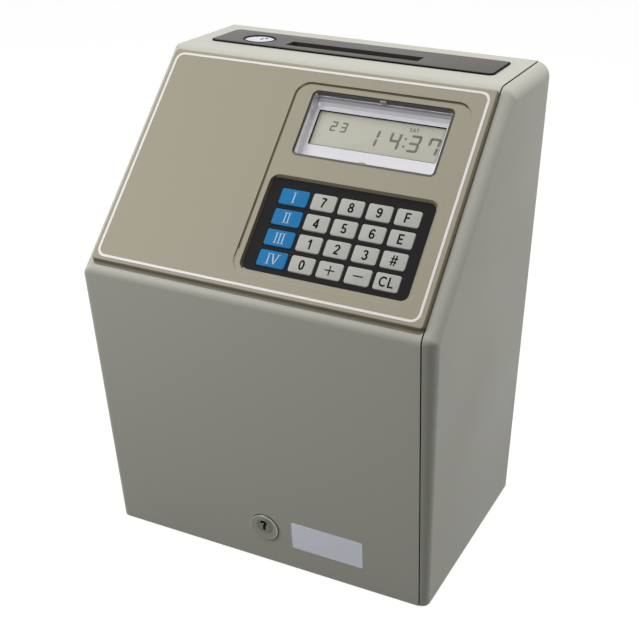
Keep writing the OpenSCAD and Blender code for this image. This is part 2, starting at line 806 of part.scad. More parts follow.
module guide_rear() {
  color([0.7, 0.7, 0.72]) {
    guide_sheet(1, feed_r);
    for (s = [-1, 1]) {
      box(slot_x + s * (card_w / 2 + 1.5) - 0.8, slot_x + s * (card_w / 2 + 1.5) + 0.8,
        card_y - chute_h + face_c,
        card_y + chute_h + 0.5, guide_z0, guide_z1);
    }
  }
}

module platen() {
  color([0.15, 0.15, 0.15]) {
    box(slot_x - frame_x, slot_x + frame_x, card_y + chute_h + guide_t + 0.2,
      card_y + chute_h + guide_t + 8,
      print_z - 6, print_z + 6);
    box(slot_x - 39, slot_x + 39, card_y + chute_h + 0.1, card_y + chute_h + guide_t + 1, print_z - 6,
      print_z + 6);
  }
}

module guide_shafts() {
  color([0.75, 0.75, 0.77]) {
    rod_x(slot_x - frame_x - 4, slot_x + frame_x + 4, shaft_y, shaft_z, shaft_r);
    rod_x(slot_x - frame_x - 4, slot_x + frame_x + 4, rear_shaft_y, shaft_z, rear_shaft_r);
  }
}

module carriage() {
  belt_y = pulley_y - pulley_r - 0.08 - belt_t / 2;
  color([0.2, 0.2, 0.22]) difference() {
    union() {
      box(slot_x - car_w / 2, slot_x + car_w / 2, shaft_y - 8, rear_shaft_y + 7, car_z0, car_z1);
      box(slot_x - 6, slot_x + 6, belt_y - 3.5, belt_y + 3.5, belt_z0, car_z0 + 0.5);
    }
    rod_x(slot_x - car_w, slot_x + car_w, shaft_y, shaft_z, shaft_r + run_c);
    rod_x(slot_x - car_w, slot_x + car_w, rear_shaft_y, shaft_z, rear_shaft_r + move_c);
    box(slot_x - 8, slot_x + 8, belt_y - belt_t / 2 - move_c, belt_y + belt_t / 2 + move_c,
      belt_z0 - 1, belt_z1 + move_c);
  }
}

module print_head() {
  hy0 = shaft_y - 4;
  hy1 = rear_shaft_y + 1;
  color([0.3, 0.3, 0.32]) difference() {
    union() {
      box(slot_x - 12, slot_x + 12, hy0, hy1, car_z1, print_z + 9);
      box(slot_x - 4, slot_x + 4, hy1 - 0.5, card_y - chute_h - guide_t - 1.6, print_z - 6, print_z + 6);
    }
    for (i = [0 : 4]) {
      box(slot_x - 13, slot_x + 13, hy0 + 2 + 4.2 * i, hy0 + 4 + 4.2 * i, print_z - 12, print_z + 10);
    }
  }
}

// Upright loop of flat belt around both pulleys
module belt_form(r) {
  box(slot_x - pulley_x, slot_x + pulley_x, pulley_y - r, pulley_y + r, belt_z0, belt_z1);
  for (s = [-1, 1]) {
    rod_z(belt_z0, belt_z1, slot_x + s * pulley_x, pulley_y, r);
  }
}

module carriage_belt() {
  color([0.1, 0.1, 0.1]) difference() {
    belt_form(pulley_r + 0.08 + belt_t);
    scale([1, 1, 3]) translate([0, 0, -belt_z0 * 2 / 3 - 2]) belt_form(pulley_r + 0.08);
  }
}

module pulley_body(x) {
  rod_z(belt_z0 - 0.6, belt_z1 + 0.6, x, pulley_y, pulley_r);
  rod_z(belt_z0 - 1.4, belt_z0 - 0.4, x, pulley_y, pulley_r + 2);
  rod_z(belt_z1 + 0.4, belt_z1 + 1.4, x, pulley_y, pulley_r + 2);
}

module drive_pulley() {
  color([0.75, 0.72, 0.6]) {
    pulley_body(slot_x + pulley_x);
    rod_z(plate_z - step_l / 2 - 1, belt_z0 + 1, slot_x + pulley_x, pulley_y, 2.5);
  }
}

module idle_pulley() {
  color([0.75, 0.72, 0.6]) difference() {
    union() {
      pulley_body(slot_x - pulley_x);
      rod_z(plate_z + frame_t + move_c, belt_z0, slot_x - pulley_x, pulley_y, 4);
    }
    rod_z(plate_z, belt_z1 + 3, slot_x - pulley_x, pulley_y, 2 + run_c);
  }
}

module carriage_motor() {
  color([0.35, 0.35, 0.37]) difference() {
    union() {
      rod_z(plate_z - step_l, plate_z, slot_x + pulley_x, pulley_y, step_r);
      rod_z(plate_z - 1, plate_z + 1.5, slot_x + pulley_x, pulley_y, 5.8);
    }
    rod_z(plate_z - step_l / 2 - 2, plate_z + 3, slot_x + pulley_x, pulley_y, 2.5 + run_c);
  }
}

module feed_motor() {
  color([0.35, 0.35, 0.37]) difference() {
    union() {
      rod_x(slot_x - frame_x, slot_x - frame_x + motor_l, pinion_y, pinion_z, motor_r);
      rod_x(slot_x - frame_x - 1.5, slot_x - frame_x + 1, pinion_y, pinion_z, 4.8);
    }
    rod_x(slot_x - frame_x - 3, slot_x - frame_x + motor_l / 2 - 1, pinion_y, pinion_z, 2 + run_c);
  }
}

// Spur gear of module 1 with straight flanks, lying across X with a tooth at angle a
module gear(n, a, x0, x1, y, z) {
  p = 360 / n;
  translate([x0, y, z]) rotate([90, 0, 90]) rotate([0, 0, a]) linear_extrude(height = x1 - x0)
    polygon([for (i = [0 : n - 1], k = [0 : 3])
      let (r = k == 0 || k == 3 ? n / 2 - 1.1 : n / 2 + 0.75, f = [-0.3, -0.115, 0.115, 0.3][k])
      [r * cos(p * (i + f)), r * sin(p * (i + f))]]);
}

module feed_pinion() {
  color([0.85, 0.82, 0.7]) {
    gear(pinion_n, mesh_a + 180, gear_x0, gear_x1, pinion_y, pinion_z);
    rod_x(gear_x0 + 1, slot_x - frame_x + motor_l / 2 - 2, pinion_y, pinion_z, 2);
  }
}

module feed_shaft() {
  color([0.3, 0.3, 0.3]) {
    gear(gear_n, mesh_a + 180 / gear_n, gear_x0, gear_x1, feed_y, feed_z);
    rod_x(gear_x0 - 1.5, slot_x + frame_x + frame_t + 2, feed_y, feed_z, feed_shaft_r);
    for (x = [-roller_x, roller_x]) {
      rod_x(slot_x + x - roller_l / 2, slot_x + x + roller_l / 2, feed_y, feed_z, feed_r);
    }
  }
}

module pinch_rollers() {
  color([0.25, 0.25, 0.25]) {
    rod_x(slot_x - frame_x - frame_t - 2, slot_x + frame_x + frame_t + 2, pinch_y, feed_z, pinch_shaft_r);
    for (x = [-roller_x, roller_x]) {
      rod_x(slot_x + x - roller_l / 2, slot_x + x + roller_l / 2, pinch_y, feed_z, pinch_r);
    }
  }
}

module ribbon_cassette() {
  arm_x = slot_l / 2 + 4;
  ry = card_y - chute_h - guide_t;
  color([0.15, 0.15, 0.16]) difference() {
    union() {
      box(slot_x - frame_x + 8, slot_x + frame_x - 8, card_y - 58, card_y - 12, cas_z0, cas_z1);
      for (s = [-1, 1]) {
        box(slot_x + s * (arm_x + 4) - 4, slot_x + s * (arm_x + 4) + 4, card_y - 13, ry - 0.6,
          print_z - 7, cas_z1);
      }
      box(slot_x - arm_x - 1, slot_x + arm_x + 1, ry - 1.2, ry - 1, print_z - 5.5, print_z + 5.5);
    }
    rod_z(cas_z1 - 8, cas_z1 + 1, knob_x, knob_y, 3 + run_c);
  }
}

module ribbon_knob() {
  color([0.1, 0.3, 0.6]) difference() {
    union() {
      rod_z(cas_z1 + move_c, cas_z1 + 7, knob_x, knob_y, 8);
      rod_z(cas_z1 - 7.5, cas_z1 + 1, knob_x, knob_y, 3);
    }
    for (a = [0 : 45 : 315]) {
      translate([knob_x, knob_y, cas_z1 + 1.5]) rotate([0, 0, a]) translate([8.5, 0,
        0]) cylinder(h = 9, r = 1.6, $fn = 24);
    }
  }
}

module main_board() {
  t = main_z + board_t;
  bw = main_x1 - main_x0;
  bd = main_y1 - main_y0;
  color([0.1, 0.35, 0.2]) difference() {
    union() {
      box(main_x0, main_x1, main_y0, main_y1, main_z, t);
      translate([main_x0, main_y0, t - 0.2]) {
        for (i = [0 : 2]) {
          box((0.14 + 0.24 * i) * bw, (0.32 + 0.24 * i) * bw, 0.19 * bd, 0.29 * bd, 0, chip_h);
        }
        box(bw / 6, bw / 2, 0.45 * bd, 0.58 * bd, 0, chip_h + 0.5);
        box(0.6 * bw, 0.75 * bw, 0.41 * bd, 0.58 * bd, 0, chip_h);
        for (i = [0 : 3]) {
          box((0.12 + 0.2 * i) * bw, (0.27 + 0.2 * i) * bw, 0.925 * bd, 0.98 * bd, 0, plug_h);
        }
        for (i = [0 : 2]) {
          rod_z(0, can_h, 0.9 * bw, (0.23 + 0.13 * i) * bd, can_r);
        }
        rod_z(0, plug_h + 1, bw / 5, 0.775 * bd, 1.4 * can_r);
        box(bw / 3, 0.77 * bw, 0.7 * bd, 0.85 * bd, 0, can_h);
      }
    }
    for (p = posts) {
      rod_z(main_z - 1, t + 1, p[0], p[1], screw_r + 0.4);
    }
  }
}

module transformer() {
  color([0.3, 0.3, 0.3]) difference() {
    union() {
      box(core_x - core_w / 2, core_x + core_w / 2, core_y - core_d / 2, core_y + core_d / 2,
        floor_z + strap_t - 0.4,
        floor_z + core_h);
      box(core_x - coil_w / 2, core_x + coil_w / 2, core_y - coil_d / 2, core_y + coil_d / 2,
        floor_z + (core_h + strap_t - coil_h) / 2, floor_z + (core_h + strap_t + coil_h) / 2);
      box(core_x - strap_w / 2, core_x + strap_w / 2, core_y - core_d / 2, core_y + core_d / 2,
        floor_z, floor_z + strap_t);
    }
    for (s = [-1, 1]) {
      rod_z(floor_z - 1, floor_z + strap_t + 2, core_x + s * strap_s, core_y, screw_r + 0.4);
    }
  }
}

module cord_gland() {
  color([0.08, 0.08, 0.08]) difference() {
    union() {
      rod_y(y_bp - 6, y_bp + back_t, gland_x, gland_z, 6);
      rod_y(y_bp - 2, y_bp - face_c, gland_x, gland_z, 9);
    }
    rod_y(y_bp - 7, y_bp + back_t + 1, gland_x, gland_z, cord_r);
  }
}

module chassis_screws() {
  color([0.6, 0.6, 0.62]) {
    for (p = posts) {
      translate([p[0], p[1], main_z + board_t + face_c]) rotate([180, 0, 0]) screw_up(7);
    }
    for (x = pan_xs) {
      translate([x, y_bp + back_t - head_t - 0.2 + face_c, z_bot + 8]) rotate([90, 0, 0]) screw_up(4);
    }
    for (s = [-1, 1]) {
      translate([core_x + s * strap_s, core_y, floor_z + strap_t + face_c]) rotate([180, 0,
        0]) screw_up(strap_t - 0.1);
    }
  }
}

main_cover();
right_cover();
hood_screws();
front_panel();
display_window();
display_bezel();
display_glass();
key_plate();
front_board();
key_i();
key_ii();
key_iii();
key_iv();
key_7();
key_8();
key_9();
key_f();
key_4();
key_5();
key_6();
key_e();
key_1();
key_2();
key_3();
key_hash();
key_0();
key_plus();
key_minus();
key_cl();
top_insert();
switch_housing();
switch_rotor();
lock_housing();
lock_plug();
lock_cam();
lock_nuts();
base_pan();
back_plate();
feet();
mech_frame();
guide_front();
guide_rear();
platen();
guide_shafts();
carriage();
print_head();
carriage_belt();
drive_pulley();
idle_pulley();
carriage_motor();
feed_motor();
feed_pinion();
feed_shaft();
pinch_rollers();
ribbon_cassette();
ribbon_knob();
main_board();
transformer();
cord_gland();
chassis_screws();
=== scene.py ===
import json
from math import asin, atan2, cos, degrees, dist, hypot, pi, radians as rad, sin, sqrt

import bmesh
import bpy
from mathutils import Matrix, Vector


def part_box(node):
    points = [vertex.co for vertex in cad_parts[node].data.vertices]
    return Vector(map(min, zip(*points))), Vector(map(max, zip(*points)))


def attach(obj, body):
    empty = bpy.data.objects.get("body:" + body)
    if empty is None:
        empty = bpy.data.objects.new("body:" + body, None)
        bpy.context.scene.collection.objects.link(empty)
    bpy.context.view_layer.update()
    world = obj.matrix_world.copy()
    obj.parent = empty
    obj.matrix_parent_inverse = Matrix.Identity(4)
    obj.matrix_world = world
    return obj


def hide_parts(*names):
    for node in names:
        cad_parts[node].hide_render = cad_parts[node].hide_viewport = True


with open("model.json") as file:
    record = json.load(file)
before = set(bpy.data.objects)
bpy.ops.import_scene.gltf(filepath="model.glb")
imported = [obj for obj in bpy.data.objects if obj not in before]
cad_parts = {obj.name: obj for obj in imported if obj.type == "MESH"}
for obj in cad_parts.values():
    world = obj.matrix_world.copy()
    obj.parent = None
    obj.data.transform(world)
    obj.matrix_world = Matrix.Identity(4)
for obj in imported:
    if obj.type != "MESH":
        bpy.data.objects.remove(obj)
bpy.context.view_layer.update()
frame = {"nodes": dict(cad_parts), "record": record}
record = frame["record"]
scene = bpy.context.scene
MM, PER_M = 0.001, 1000

# Sizes in millimetres, in the frame of the part: case
HALF_W, EDGE, WALL, SEAM, GAP = 111.0, 7.5, 3.0, 104.4, 0.34
LEFT_R, LEFT_SLOPE_R, RIGHT_R, RIGHT_X, RIGHT_DROP, RIGHT_FOOT = 4.5, 8.2, 9.0, 112.2, 0.4, 0.62
SLOPE_A, SLOPE_L = 45.8, 154.8
Y_REAR, Z_BOT, Z_KINK, DEPTH, FOOT_DEPTH = 88.775, 2.0, 196.0, 182, 154
FRONT_B = degrees(atan2(DEPTH - FOOT_DEPTH, Z_KINK - Z_BOT))
Y_KINK, Y_FOOT = Y_REAR - DEPTH, Y_REAR - FOOT_DEPTH
Z_TOP = Z_KINK + SLOPE_L * sin(rad(SLOPE_A))
Y_TOP = Y_KINK + SLOPE_L * cos(rad(SLOPE_A))

# Bend between front and slope as seen, set down the slope from the corner of the solid
BEND_R, BEND_DROP = 6.5, 1.4
Y_BEND = Y_KINK - BEND_DROP * cos(rad(SLOPE_A))
Z_BEND = Z_KINK - BEND_DROP * sin(rad(SLOPE_A))
BEND_B = degrees(atan2(Y_FOOT - Y_BEND, Z_BEND - Z_BOT))

# Webs for the screws of the right cover, bores of the locks, and hinge
WEB_X, WEB_T, WEB_IN, WEB_HALF, WEB_BITE, WEB_LEAN = 89.0, 3.0, 12.0, 6, 0.5, 0.007
FRONT_HS, TOP_YS = (45.0, 172.0), (Y_REAR - 13, Y_TOP + 13)
BORE_R = 8.3
HINGE_Y, HINGE_Z, EAR_R, PIN_R, LUG_X, LUG_W = 83.775, 299.778, 3.6, 2.05, 80.0, 8.0

# Sloping panel, each rectangle as x0, x1, u0, u1 with u up the slope
PANEL = (-104.9, 104.4, 4.5, 151.03)
PANEL_T, PANEL_R, PANEL_BEV = 2.4, 2.5, 1.3
PANEL_XS, PANEL_US = (-94.9, 0.0, 94.9), (8.54, 146.58)
PAD = (-8.25, 88.25, 18.99, 75.99)
OPENING, OPENING_R, OPENING_FLARE = (-9.6, 89.85, 18.9, 76.9), 3.9, 2.1
WINDOW, WINDOW_R = (-4.6, 83.7, 92.0, 135.6), 3.5
RECESS, RECESS_T, RECESS_R, RECESS_FLARE = (-15.3, 93.25, 14.99, 139.68), 0.7, 9.0, 0.45
RECESS_N = PANEL_T - RECESS_T
HATCH = (-14.25, 94.25, 13.99, 142.13)
LCD, LCD_SINK, LCD_N = (-0.3, 79.1, 104.0, 127.1), 5.6, -6.85
BOARD_N, BOARD_T, SWITCH_N = -11.4, 1.6, -4.85
KEY_W, WIDE_W, KEY_H, KEY_PX, KEY_PU, KEY_TOP = 14.2, 17.3, 10.1, 16.73, 12.97, 0.6

# Top insert and locks
INSERT, INSERT_R, INSERT_Z = (-94.2, 91.5, 36.275, 71.775), 3, Z_TOP + 1.2
SLOT, SLOT_R = (-45.5, 42.5, 47.775, 54.775), 0.5
SLOT_X, CARD_Y = -1.5, 51.275
SWITCH_X, LOCK_H = -68.0, 28.5


def shift(x, y, z):
    return Matrix.Translation((x, y, z))


def tilt(a):
    return Matrix.Rotation(rad(a), 4, "X")


# Placing: on the slope, on the front of the solid and of the seen cover, at the locks, and turned
ON_SLOPE = shift(0, Y_KINK, Z_KINK) @ tilt(SLOPE_A)
ON_FRONT = shift(0, Y_FOOT, Z_BOT) @ tilt(90 + FRONT_B)
ON_FACE = shift(0, Y_FOOT, Z_BOT) @ tilt(90 + BEND_B)
AT_LOCK = ON_FRONT @ shift(0, LOCK_H, 0)
AT_SWITCH = shift(SWITCH_X, CARD_Y, INSERT_Z)
ALONG_X = Matrix(((0, 0, 1, 0), (1, 0, 0, 0), (0, 1, 0, 0), (0, 0, 0, 1)))
UPSIDE_DOWN = tilt(180)

# Shapes: each is (points, faces)
FINE = 8


def rrect(rect, r, n=6):
    """Points of a rounded rectangle, counterclockwise."""
    left, right, low, high = inset(rect, r)
    pts = []
    for cx, cy, a0 in ((right, low, -90), (right, high, 0), (left, high, 90), (left, low, 180)):
        for i in range(n + 1):
            a = rad(a0 + 90 * i / n)
            pts.append((cx + r * cos(a), cy + r * sin(a)))
    return pts


def inset(rect, d):
    x0, x1, y0, y1 = rect
    return x0 + d, x1 - d, y0 + d, y1 - d


def middle(rect):
    return (rect[0] + rect[1]) / 2, (rect[2] + rect[3]) / 2


def within(rect, grow, c):
    """Whether a point is inside a rectangle that is larger by grow."""
    return rect[0] - grow < c.x < rect[1] + grow and rect[2] - grow < c.y < rect[3] + grow


def circle_in(pts, cx, cy, r):
    """Circle with one point for each point of an outline around it."""
    angles = [atan2(y - cy, x - cx) for x, y in pts]
    return [(cx + r * cos(a), cy + r * sin(a)) for a in angles]


def at_z(pts, z):
    return [(x, y, z) for x, y in pts]


def loft(rings, capped=True):
    """Skin over closed rings of equal length, from the lowest to the highest."""
    n, faces = len(rings[0]), []
    top = (len(rings) - 1) * n
    for a in range(0, top, n):
        for j in range(n):
            k = (j + 1) % n
            faces.append((a + j, a + k, a + n + k, a + n + j))
    if capped:
        faces += [tuple(range(n - 1, -1, -1)), tuple(range(top, top + n))]
    return [p for r in rings for p in r], faces


def rounded_top(rect, z1, r, bev, n=6, seg=3):
    """Rings that round off the upper edge of a plate."""
    rings = []
    for i in range(seg + 1):
        a = rad(90 * i / seg)
        d = bev * (1 - cos(a))
        ring = rrect(inset(rect, d), max(r - d, 0.05), n)
        rings.append(at_z(ring, z1 - bev + bev * sin(a)))
    return rings


def slab(rect, z0, z1, r, bev=0.0, n=6, seg=3):
    """Flat plate with rounded corners and a rounded upper edge."""
    low = at_z(rrect(rect, r, n), z0)
    if not bev:
        return loft([low, at_z(rrect(rect, r, n), z1)])
    return loft([low] + rounded_top(rect, z1, r, bev, n, seg))


def pillow(rect, z0, z1, r, bev, seg=3):
    """Block with every edge rounded."""
    top = rounded_top(rect, z1, r, bev, seg=seg)
    low = [[(x, y, z0 + z1 - z) for x, y, z in ring] for ring in reversed(top)]
    return loft(low + top)


def taper(rect, z0, z1, r, grow):
    """Cutter for an opening whose rim is wider by grow at z1 than at z0."""
    return loft([at_z(rrect(rect, r, FINE), z0), at_z(rrect(inset(rect, -grow), r + grow, FINE), z1)])


def band(outer, inner, z0, z1):
    """Closed ring between two outlines of equal length."""
    n = len(outer)
    pts = at_z(outer, z0) + at_z(outer, z1) + at_z(inner, z1) + at_z(inner, z0)
    faces = []
    for ring in range(4):
        nxt = (ring + 1) % 4
        for j in range(n):
            k = (j + 1) % n
            faces.append((ring * n + j, ring * n + k, nxt * n + k, nxt * n + j))
    return pts, faces


def border(outer, outer_r, inner, inner_r, z0, z1, n=6):
    """Closed ring between two rounded rectangles."""
    return band(rrect(outer, outer_r, n), rrect(inner, inner_r, n), z0, z1)


def lathe(profile, n=64):
    """Turned form about Z from (radius, height) points, lowest first."""
    turn = [2 * pi * i / n for i in range(n)]
    return loft([[(r * cos(a), r * sin(a), z) for a in turn] for r, z in profile], False)


def rod(r, z0, z1, bev=0.3, n=48):
    return lathe([(0, z0), (r - bev, z0), (r, z0 + bev), (r, z1 - bev), (r - bev, z1), (0, z1)], n)


def prism(pts, z0, z1):
    return loft([at_z(pts, z0), at_z(pts, z1)])


def stroke(pts, w, z0, z1, closed=False):
    """Ribbon of width w along a flat path, with mitred corners."""
    pts = [Vector(p) for p in pts]
    n = len(pts)
    steps = [(pts[(i + 1) % n] - pts[i]).normalized() for i in range(n)]
    rings = []
    for i, p in enumerate(pts):
        a = steps[i - 1] if i or closed else steps[i]
        b = steps[i] if i < n - 1 or closed else steps[i - 1]
        left_a, left_b = Vector((-a.y, a.x)), Vector((-b.y, b.x))
        side = (left_a + left_b) * (w / 2 / (1 + left_a.dot(left_b)))
        rings.append([(*(p - side), z0), (*(p + side), z0), (*(p + side), z1), (*(p - side), z1)])
    return loft(rings + rings[:1], False) if closed else loft(rings)


def bow(cx, cy, rx, ry, a0, a1, n=14):
    """Points along an arc of an ellipse."""
    turn = [rad(a0 + (a1 - a0) * i / n) for i in range(n + 1)]
    return [(cx + rx * cos(a), cy + ry * sin(a)) for a in turn]


def merge(*shapes):
    pts, faces = [], []
    for p, f in shapes:
        base = len(pts)
        pts += list(p)
        faces += [tuple(i + base for i in face) for face in f]
    return pts, faces


def moved(shape, m):
    return [tuple(m @ Vector(p)) for p in shape[0]], shape[1]


def mesh_of(name, shape, m=None):
    m = m or Matrix.Identity(4)
    mesh = bpy.data.meshes.new(name)
    mesh.from_pydata([(m @ Vector(p)) * MM for p in shape[0]], [], [list(f) for f in shape[1]])
    bm = bmesh.new()
    bm.from_mesh(mesh)
    bmesh.ops.remove_doubles(bm, verts=bm.verts, dist=2e-7)
    bmesh.ops.dissolve_degenerate(bm, edges=bm.edges, dist=1e-7)
    bmesh.ops.recalc_face_normals(bm, faces=bm.faces)
    bm.to_mesh(mesh)
    bm.free()
    return mesh


def add_object(name, data):
    obj = bpy.data.objects.new(name, data)
    scene.collection.objects.link(obj)
    return obj


def cut(obj, shape, m):
    """Takes a closed shape away from an object's mesh."""
    tool = add_object("tool", mesh_of("tool", shape, m))
    mod = obj.modifiers.new("cut", "BOOLEAN")
    mod.operation, mod.solver, mod.object = "DIFFERENCE", "EXACT", tool
    bpy.context.view_layer.update()
    obj.data = bpy.data.meshes.new_from_object(obj.evaluated_get(bpy.context.evaluated_depsgraph_get()))
    obj.modifiers.clear()
    bpy.data.objects.remove(tool)


SHARP_A, FRAMES, FINISH = 32, {}, {}


def piece(name, shape, body, mat, m=None, cuts=(), plus=(), node=None, slot=None, even=False):
    """One piece built in frame m, cut and added to, riding a CAD body; the slot argument is not used."""
    slot = slot or mat
    obj = add_object(name, mesh_of(name, shape, m))
    FRAMES[obj.name] = m or Matrix.Identity(4)
    for tool in cuts:
        cut(obj, tool, m)
    if plus:
        bm = bmesh.new()
        bm.from_mesh(obj.data)
        for more in plus:
            bm.from_mesh(mesh_of("more", more, m))
        bm.to_mesh(obj.data)
        bm.free()
    obj.data.materials.clear()
    obj.data.materials.append(FINISH[mat])
    obj.data.shade_smooth()
    obj.data.set_sharp_from_angle(angle=rad(SHARP_A))
    if even:
        obj.modifiers.new("even", "WEIGHTED_NORMAL").keep_sharp = True
    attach(obj, body)
    if node:
        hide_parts(node)
    return obj


def on_slope(name, shape, mat, slot=None, **more):
    """Piece of the hood, built in the frame of the slope."""
    return piece(name, shape, "hood", mat, ON_SLOPE, slot=slot, **more)


def inside(name, shape, mat, slot=None, **more):
    """Piece of the chassis."""
    return piece(name, shape, "chassis", mat, slot=slot, **more)


def paint(obj, mat, chosen):
    """Gives another finish to the faces chosen by centre and normal, in millimetres in the piece's frame."""
    to_local = FRAMES[obj.name].inverted()
    obj.data.materials.append(FINISH[mat])
    for face in obj.data.polygons:
        if chosen(to_local @ (face.center * PER_M), to_local.to_3x3() @ face.normal):
            face.material_index = len(obj.data.materials) - 1


# Materials
DRIFT, DRIFT_DETAIL, GRAIN_DETAIL, GRAIN_M, EDGE_MM = 9.0, 4.0, 2.0, 0.0001, 0.35
SPECK_SHADE, EDGE_SHADE, EDGE_LIFT, DULLER, GLOSSIER = 0.55, 1.25, 0.04, 0.06, 0.05


def node_makers(owner):
    """Empties the nodes of a material or world, and returns what adds and what links new ones."""
    owner.use_nodes = True
    tree = owner.node_tree
    tree.nodes.clear()

    def new(*kinds):
        made = [tree.nodes.new("ShaderNode" + kind) for kind in kinds]
        return made if len(made) > 1 else made[0]

    def link(start, node, socket=0):
        """Joins a socket, or a node's first output, to an input of another node."""
        tree.links.new(getattr(start, "outputs", [start])[0], node.inputs[socket])

    return new, link


def put(node, **values):
    """Sets constants on a node's own sockets."""
    for name, value in values.items():
        node.inputs[name.replace("_", " ")].default_value = value


def linear(c):
    """Linear level of a screen level from 0 to 255."""
    return ((c / 255 + 0.055) / 1.055) ** 2.4 if c > 10 else c / 255 / 12.92


def material(name, screen, rough=0.5, metal=0.0, grain=2200.0, bump=0.1, tone=0.02, wear=0.25,
             stretch=(1, 1, 1), spec=0.5, speck=0.03):
    """Finish with tonal drift, fine grain, uneven gloss and slightly paler edges, known by its name."""
    FINISH[name] = mat = bpy.data.materials.new(name)
    new, link = node_makers(mat)
    rgb = [linear(c) for c in screen]
    out, bsdf = new("OutputMaterial", "BsdfPrincipled")
    link(bsdf, out)
    coords, mapping = new("TexCoord", "Mapping")
    put(mapping, Scale=stretch)
    link(coords.outputs["Object"], mapping, "Vector")
    drift, fine = new("TexNoise", "TexNoise")
    put(drift, Scale=DRIFT, Detail=DRIFT_DETAIL)
    put(fine, Scale=grain, Detail=GRAIN_DETAIL)
    link(coords.outputs["Object"], drift, "Vector")
    link(mapping, fine, "Vector")

    def rgb_mix(factor, a, b):
        node = new("Mix")
        node.data_type = "RGBA"
        link(factor, node)
        for socket, value in ((6, a), (7, b)):
            if isinstance(value, tuple):
                node.inputs[socket].default_value = value
            else:
                link(value, node, socket)
        return node.outputs[2]

    def shade(k, lift=0.0):
        return tuple(min(1.0, c * k + lift) for c in rgb) + (1.0,)

    def ranged(value, a, b, lo=0.3, hi=0.7):
        node = new("MapRange")
        link(value, node, "Value")
        put(node, From_Min=lo, From_Max=hi, To_Min=a, To_Max=b)
        return node

    base = rgb_mix(ranged(drift, 0, 1), shade(1 - tone), shade(1 + tone))
    base = rgb_mix(ranged(fine, 0, speck), base, shade(SPECK_SHADE))
    bevel, geo, dot = new("Bevel", "NewGeometry", "VectorMath")
    bevel.samples = 4
    put(bevel, Radius=EDGE_MM * MM)
    dot.operation = "DOT_PRODUCT"
    link(bevel, dot)
    link(geo.outputs["Normal"], dot, 1)
    edge = ranged(dot.outputs["Value"], wear, 0.0, 0.7, 0.97)
    link(rgb_mix(edge, base, shade(EDGE_SHADE, EDGE_LIFT)), bsdf, "Base Color")
    link(ranged(drift, rough - GLOSSIER, rough + DULLER), bsdf, "Roughness")
    put(bsdf, Metallic=metal, Specular_IOR_Level=spec)
    rise = new("Bump")
    put(rise, Strength=bump, Distance=GRAIN_M)
    link(fine, rise, "Height")
    link(bevel, rise, "Normal")
    link(rise, bsdf, "Normal")
    return name


def clear_pane(name):
    """Clear window: lets light through and keeps a thin gloss with faint smears."""
    FINISH[name] = mat = bpy.data.materials.new(name)
    new, link = node_makers(mat)
    out, mix, thin, gloss = new("OutputMaterial", "MixShader", "BsdfTransparent", "BsdfGlossy")
    facing, coords, noise, spread = new("Fresnel", "TexCoord", "TexNoise", "MapRange")
    put(noise, Scale=60.0)
    put(spread, To_Min=0.03, To_Max=0.12)
    put(thin, Color=(0.97, 0.97, 0.972, 1))
    put(facing, IOR=1.12)
    link(coords.outputs["Object"], noise, "Vector")
    link(noise, spread, "Value")
    link(spread, gloss, "Roughness")
    link(facing, mix)
    link(thin, mix, 1)
    link(gloss, mix, 2)
    link(mix, out)
    return name


# Finishes: name, colour on screen, then roughness where it is not 0.5
COVER = material("cover_grey", (200, 199, 188), 0.52, bump=0.12, spec=0.3, tone=0.012)
PANEL_M = material("panel_tan", (166, 160, 141), bump=0.06, spec=0.3, wear=0.15, tone=0.012)
STRIPE = material("stripe_white", (244, 240, 238), 0.45, bump=0.05, wear=0.1)
# Painted light: a paler grey for the lower sides of the window's rings
GASKET_LIT = material("gasket_lit", (118, 114, 106), bump=0.15, wear=0.3, spec=0.2)
GASKET = material("gasket_dark", (58, 56, 50), bump=0.15, wear=0.3, spec=0.2)
# Painted shade: brown for the left and upper walls of the panel's recess and the strip along them
SHADE = material("recess_shade_brown", (106, 96, 76), 0.6, spec=0.2)
# Painted shade: olive for the panel's shaded edges, the upper bevel of the key opening and the paler sides of
# the panel's painted shadow
RIM_SHADE = material("rim_shade_olive", (124, 117, 98), 0.55, bump=0.08, spec=0.2)
CLIP = material("clip_grey", (150, 147, 140), spec=0.3)
# Painted shade: dark brown for the faces inside the card slot
CHUTE_SHADE = material("chute_shade_brown", (60, 55, 51), 0.7, bump=0.15, spec=0.12)
# Painted shadow: grey for the strip below the panel's lower edge
SHADOW_STRIP = material("shadow_strip_grey", (142, 139, 127), 0.6, spec=0.15)
# Painted shadow: dark olive for the seam's walls, the left bevel of the key opening and the strip round the
# panel
SHADOW = material("shadow_olive", (80, 75, 61), 0.7, spec=0.1)
SATIN = dict(grain=3000, bump=0.2, speck=0.06)
BEZEL = material("bezel_silver", (216, 215, 219), 0.36, metal=0.45, **SATIN)
# Painted light: a brighter copy of the silver for the frame's left walls
BEZEL_LIT = material("bezel_lit", (236, 235, 239), 0.4, metal=0.9, **SATIN)
# Painted shade: two darker copies of the silver for the frame's upper wall
BEZEL_HALF_SHADE = material("bezel_half_shade", (188, 186, 194), metal=0.1, spec=0.15, **SATIN)
BEZEL_SHADE = material("bezel_shade", (150, 147, 157), 0.6, spec=0.1, **SATIN)
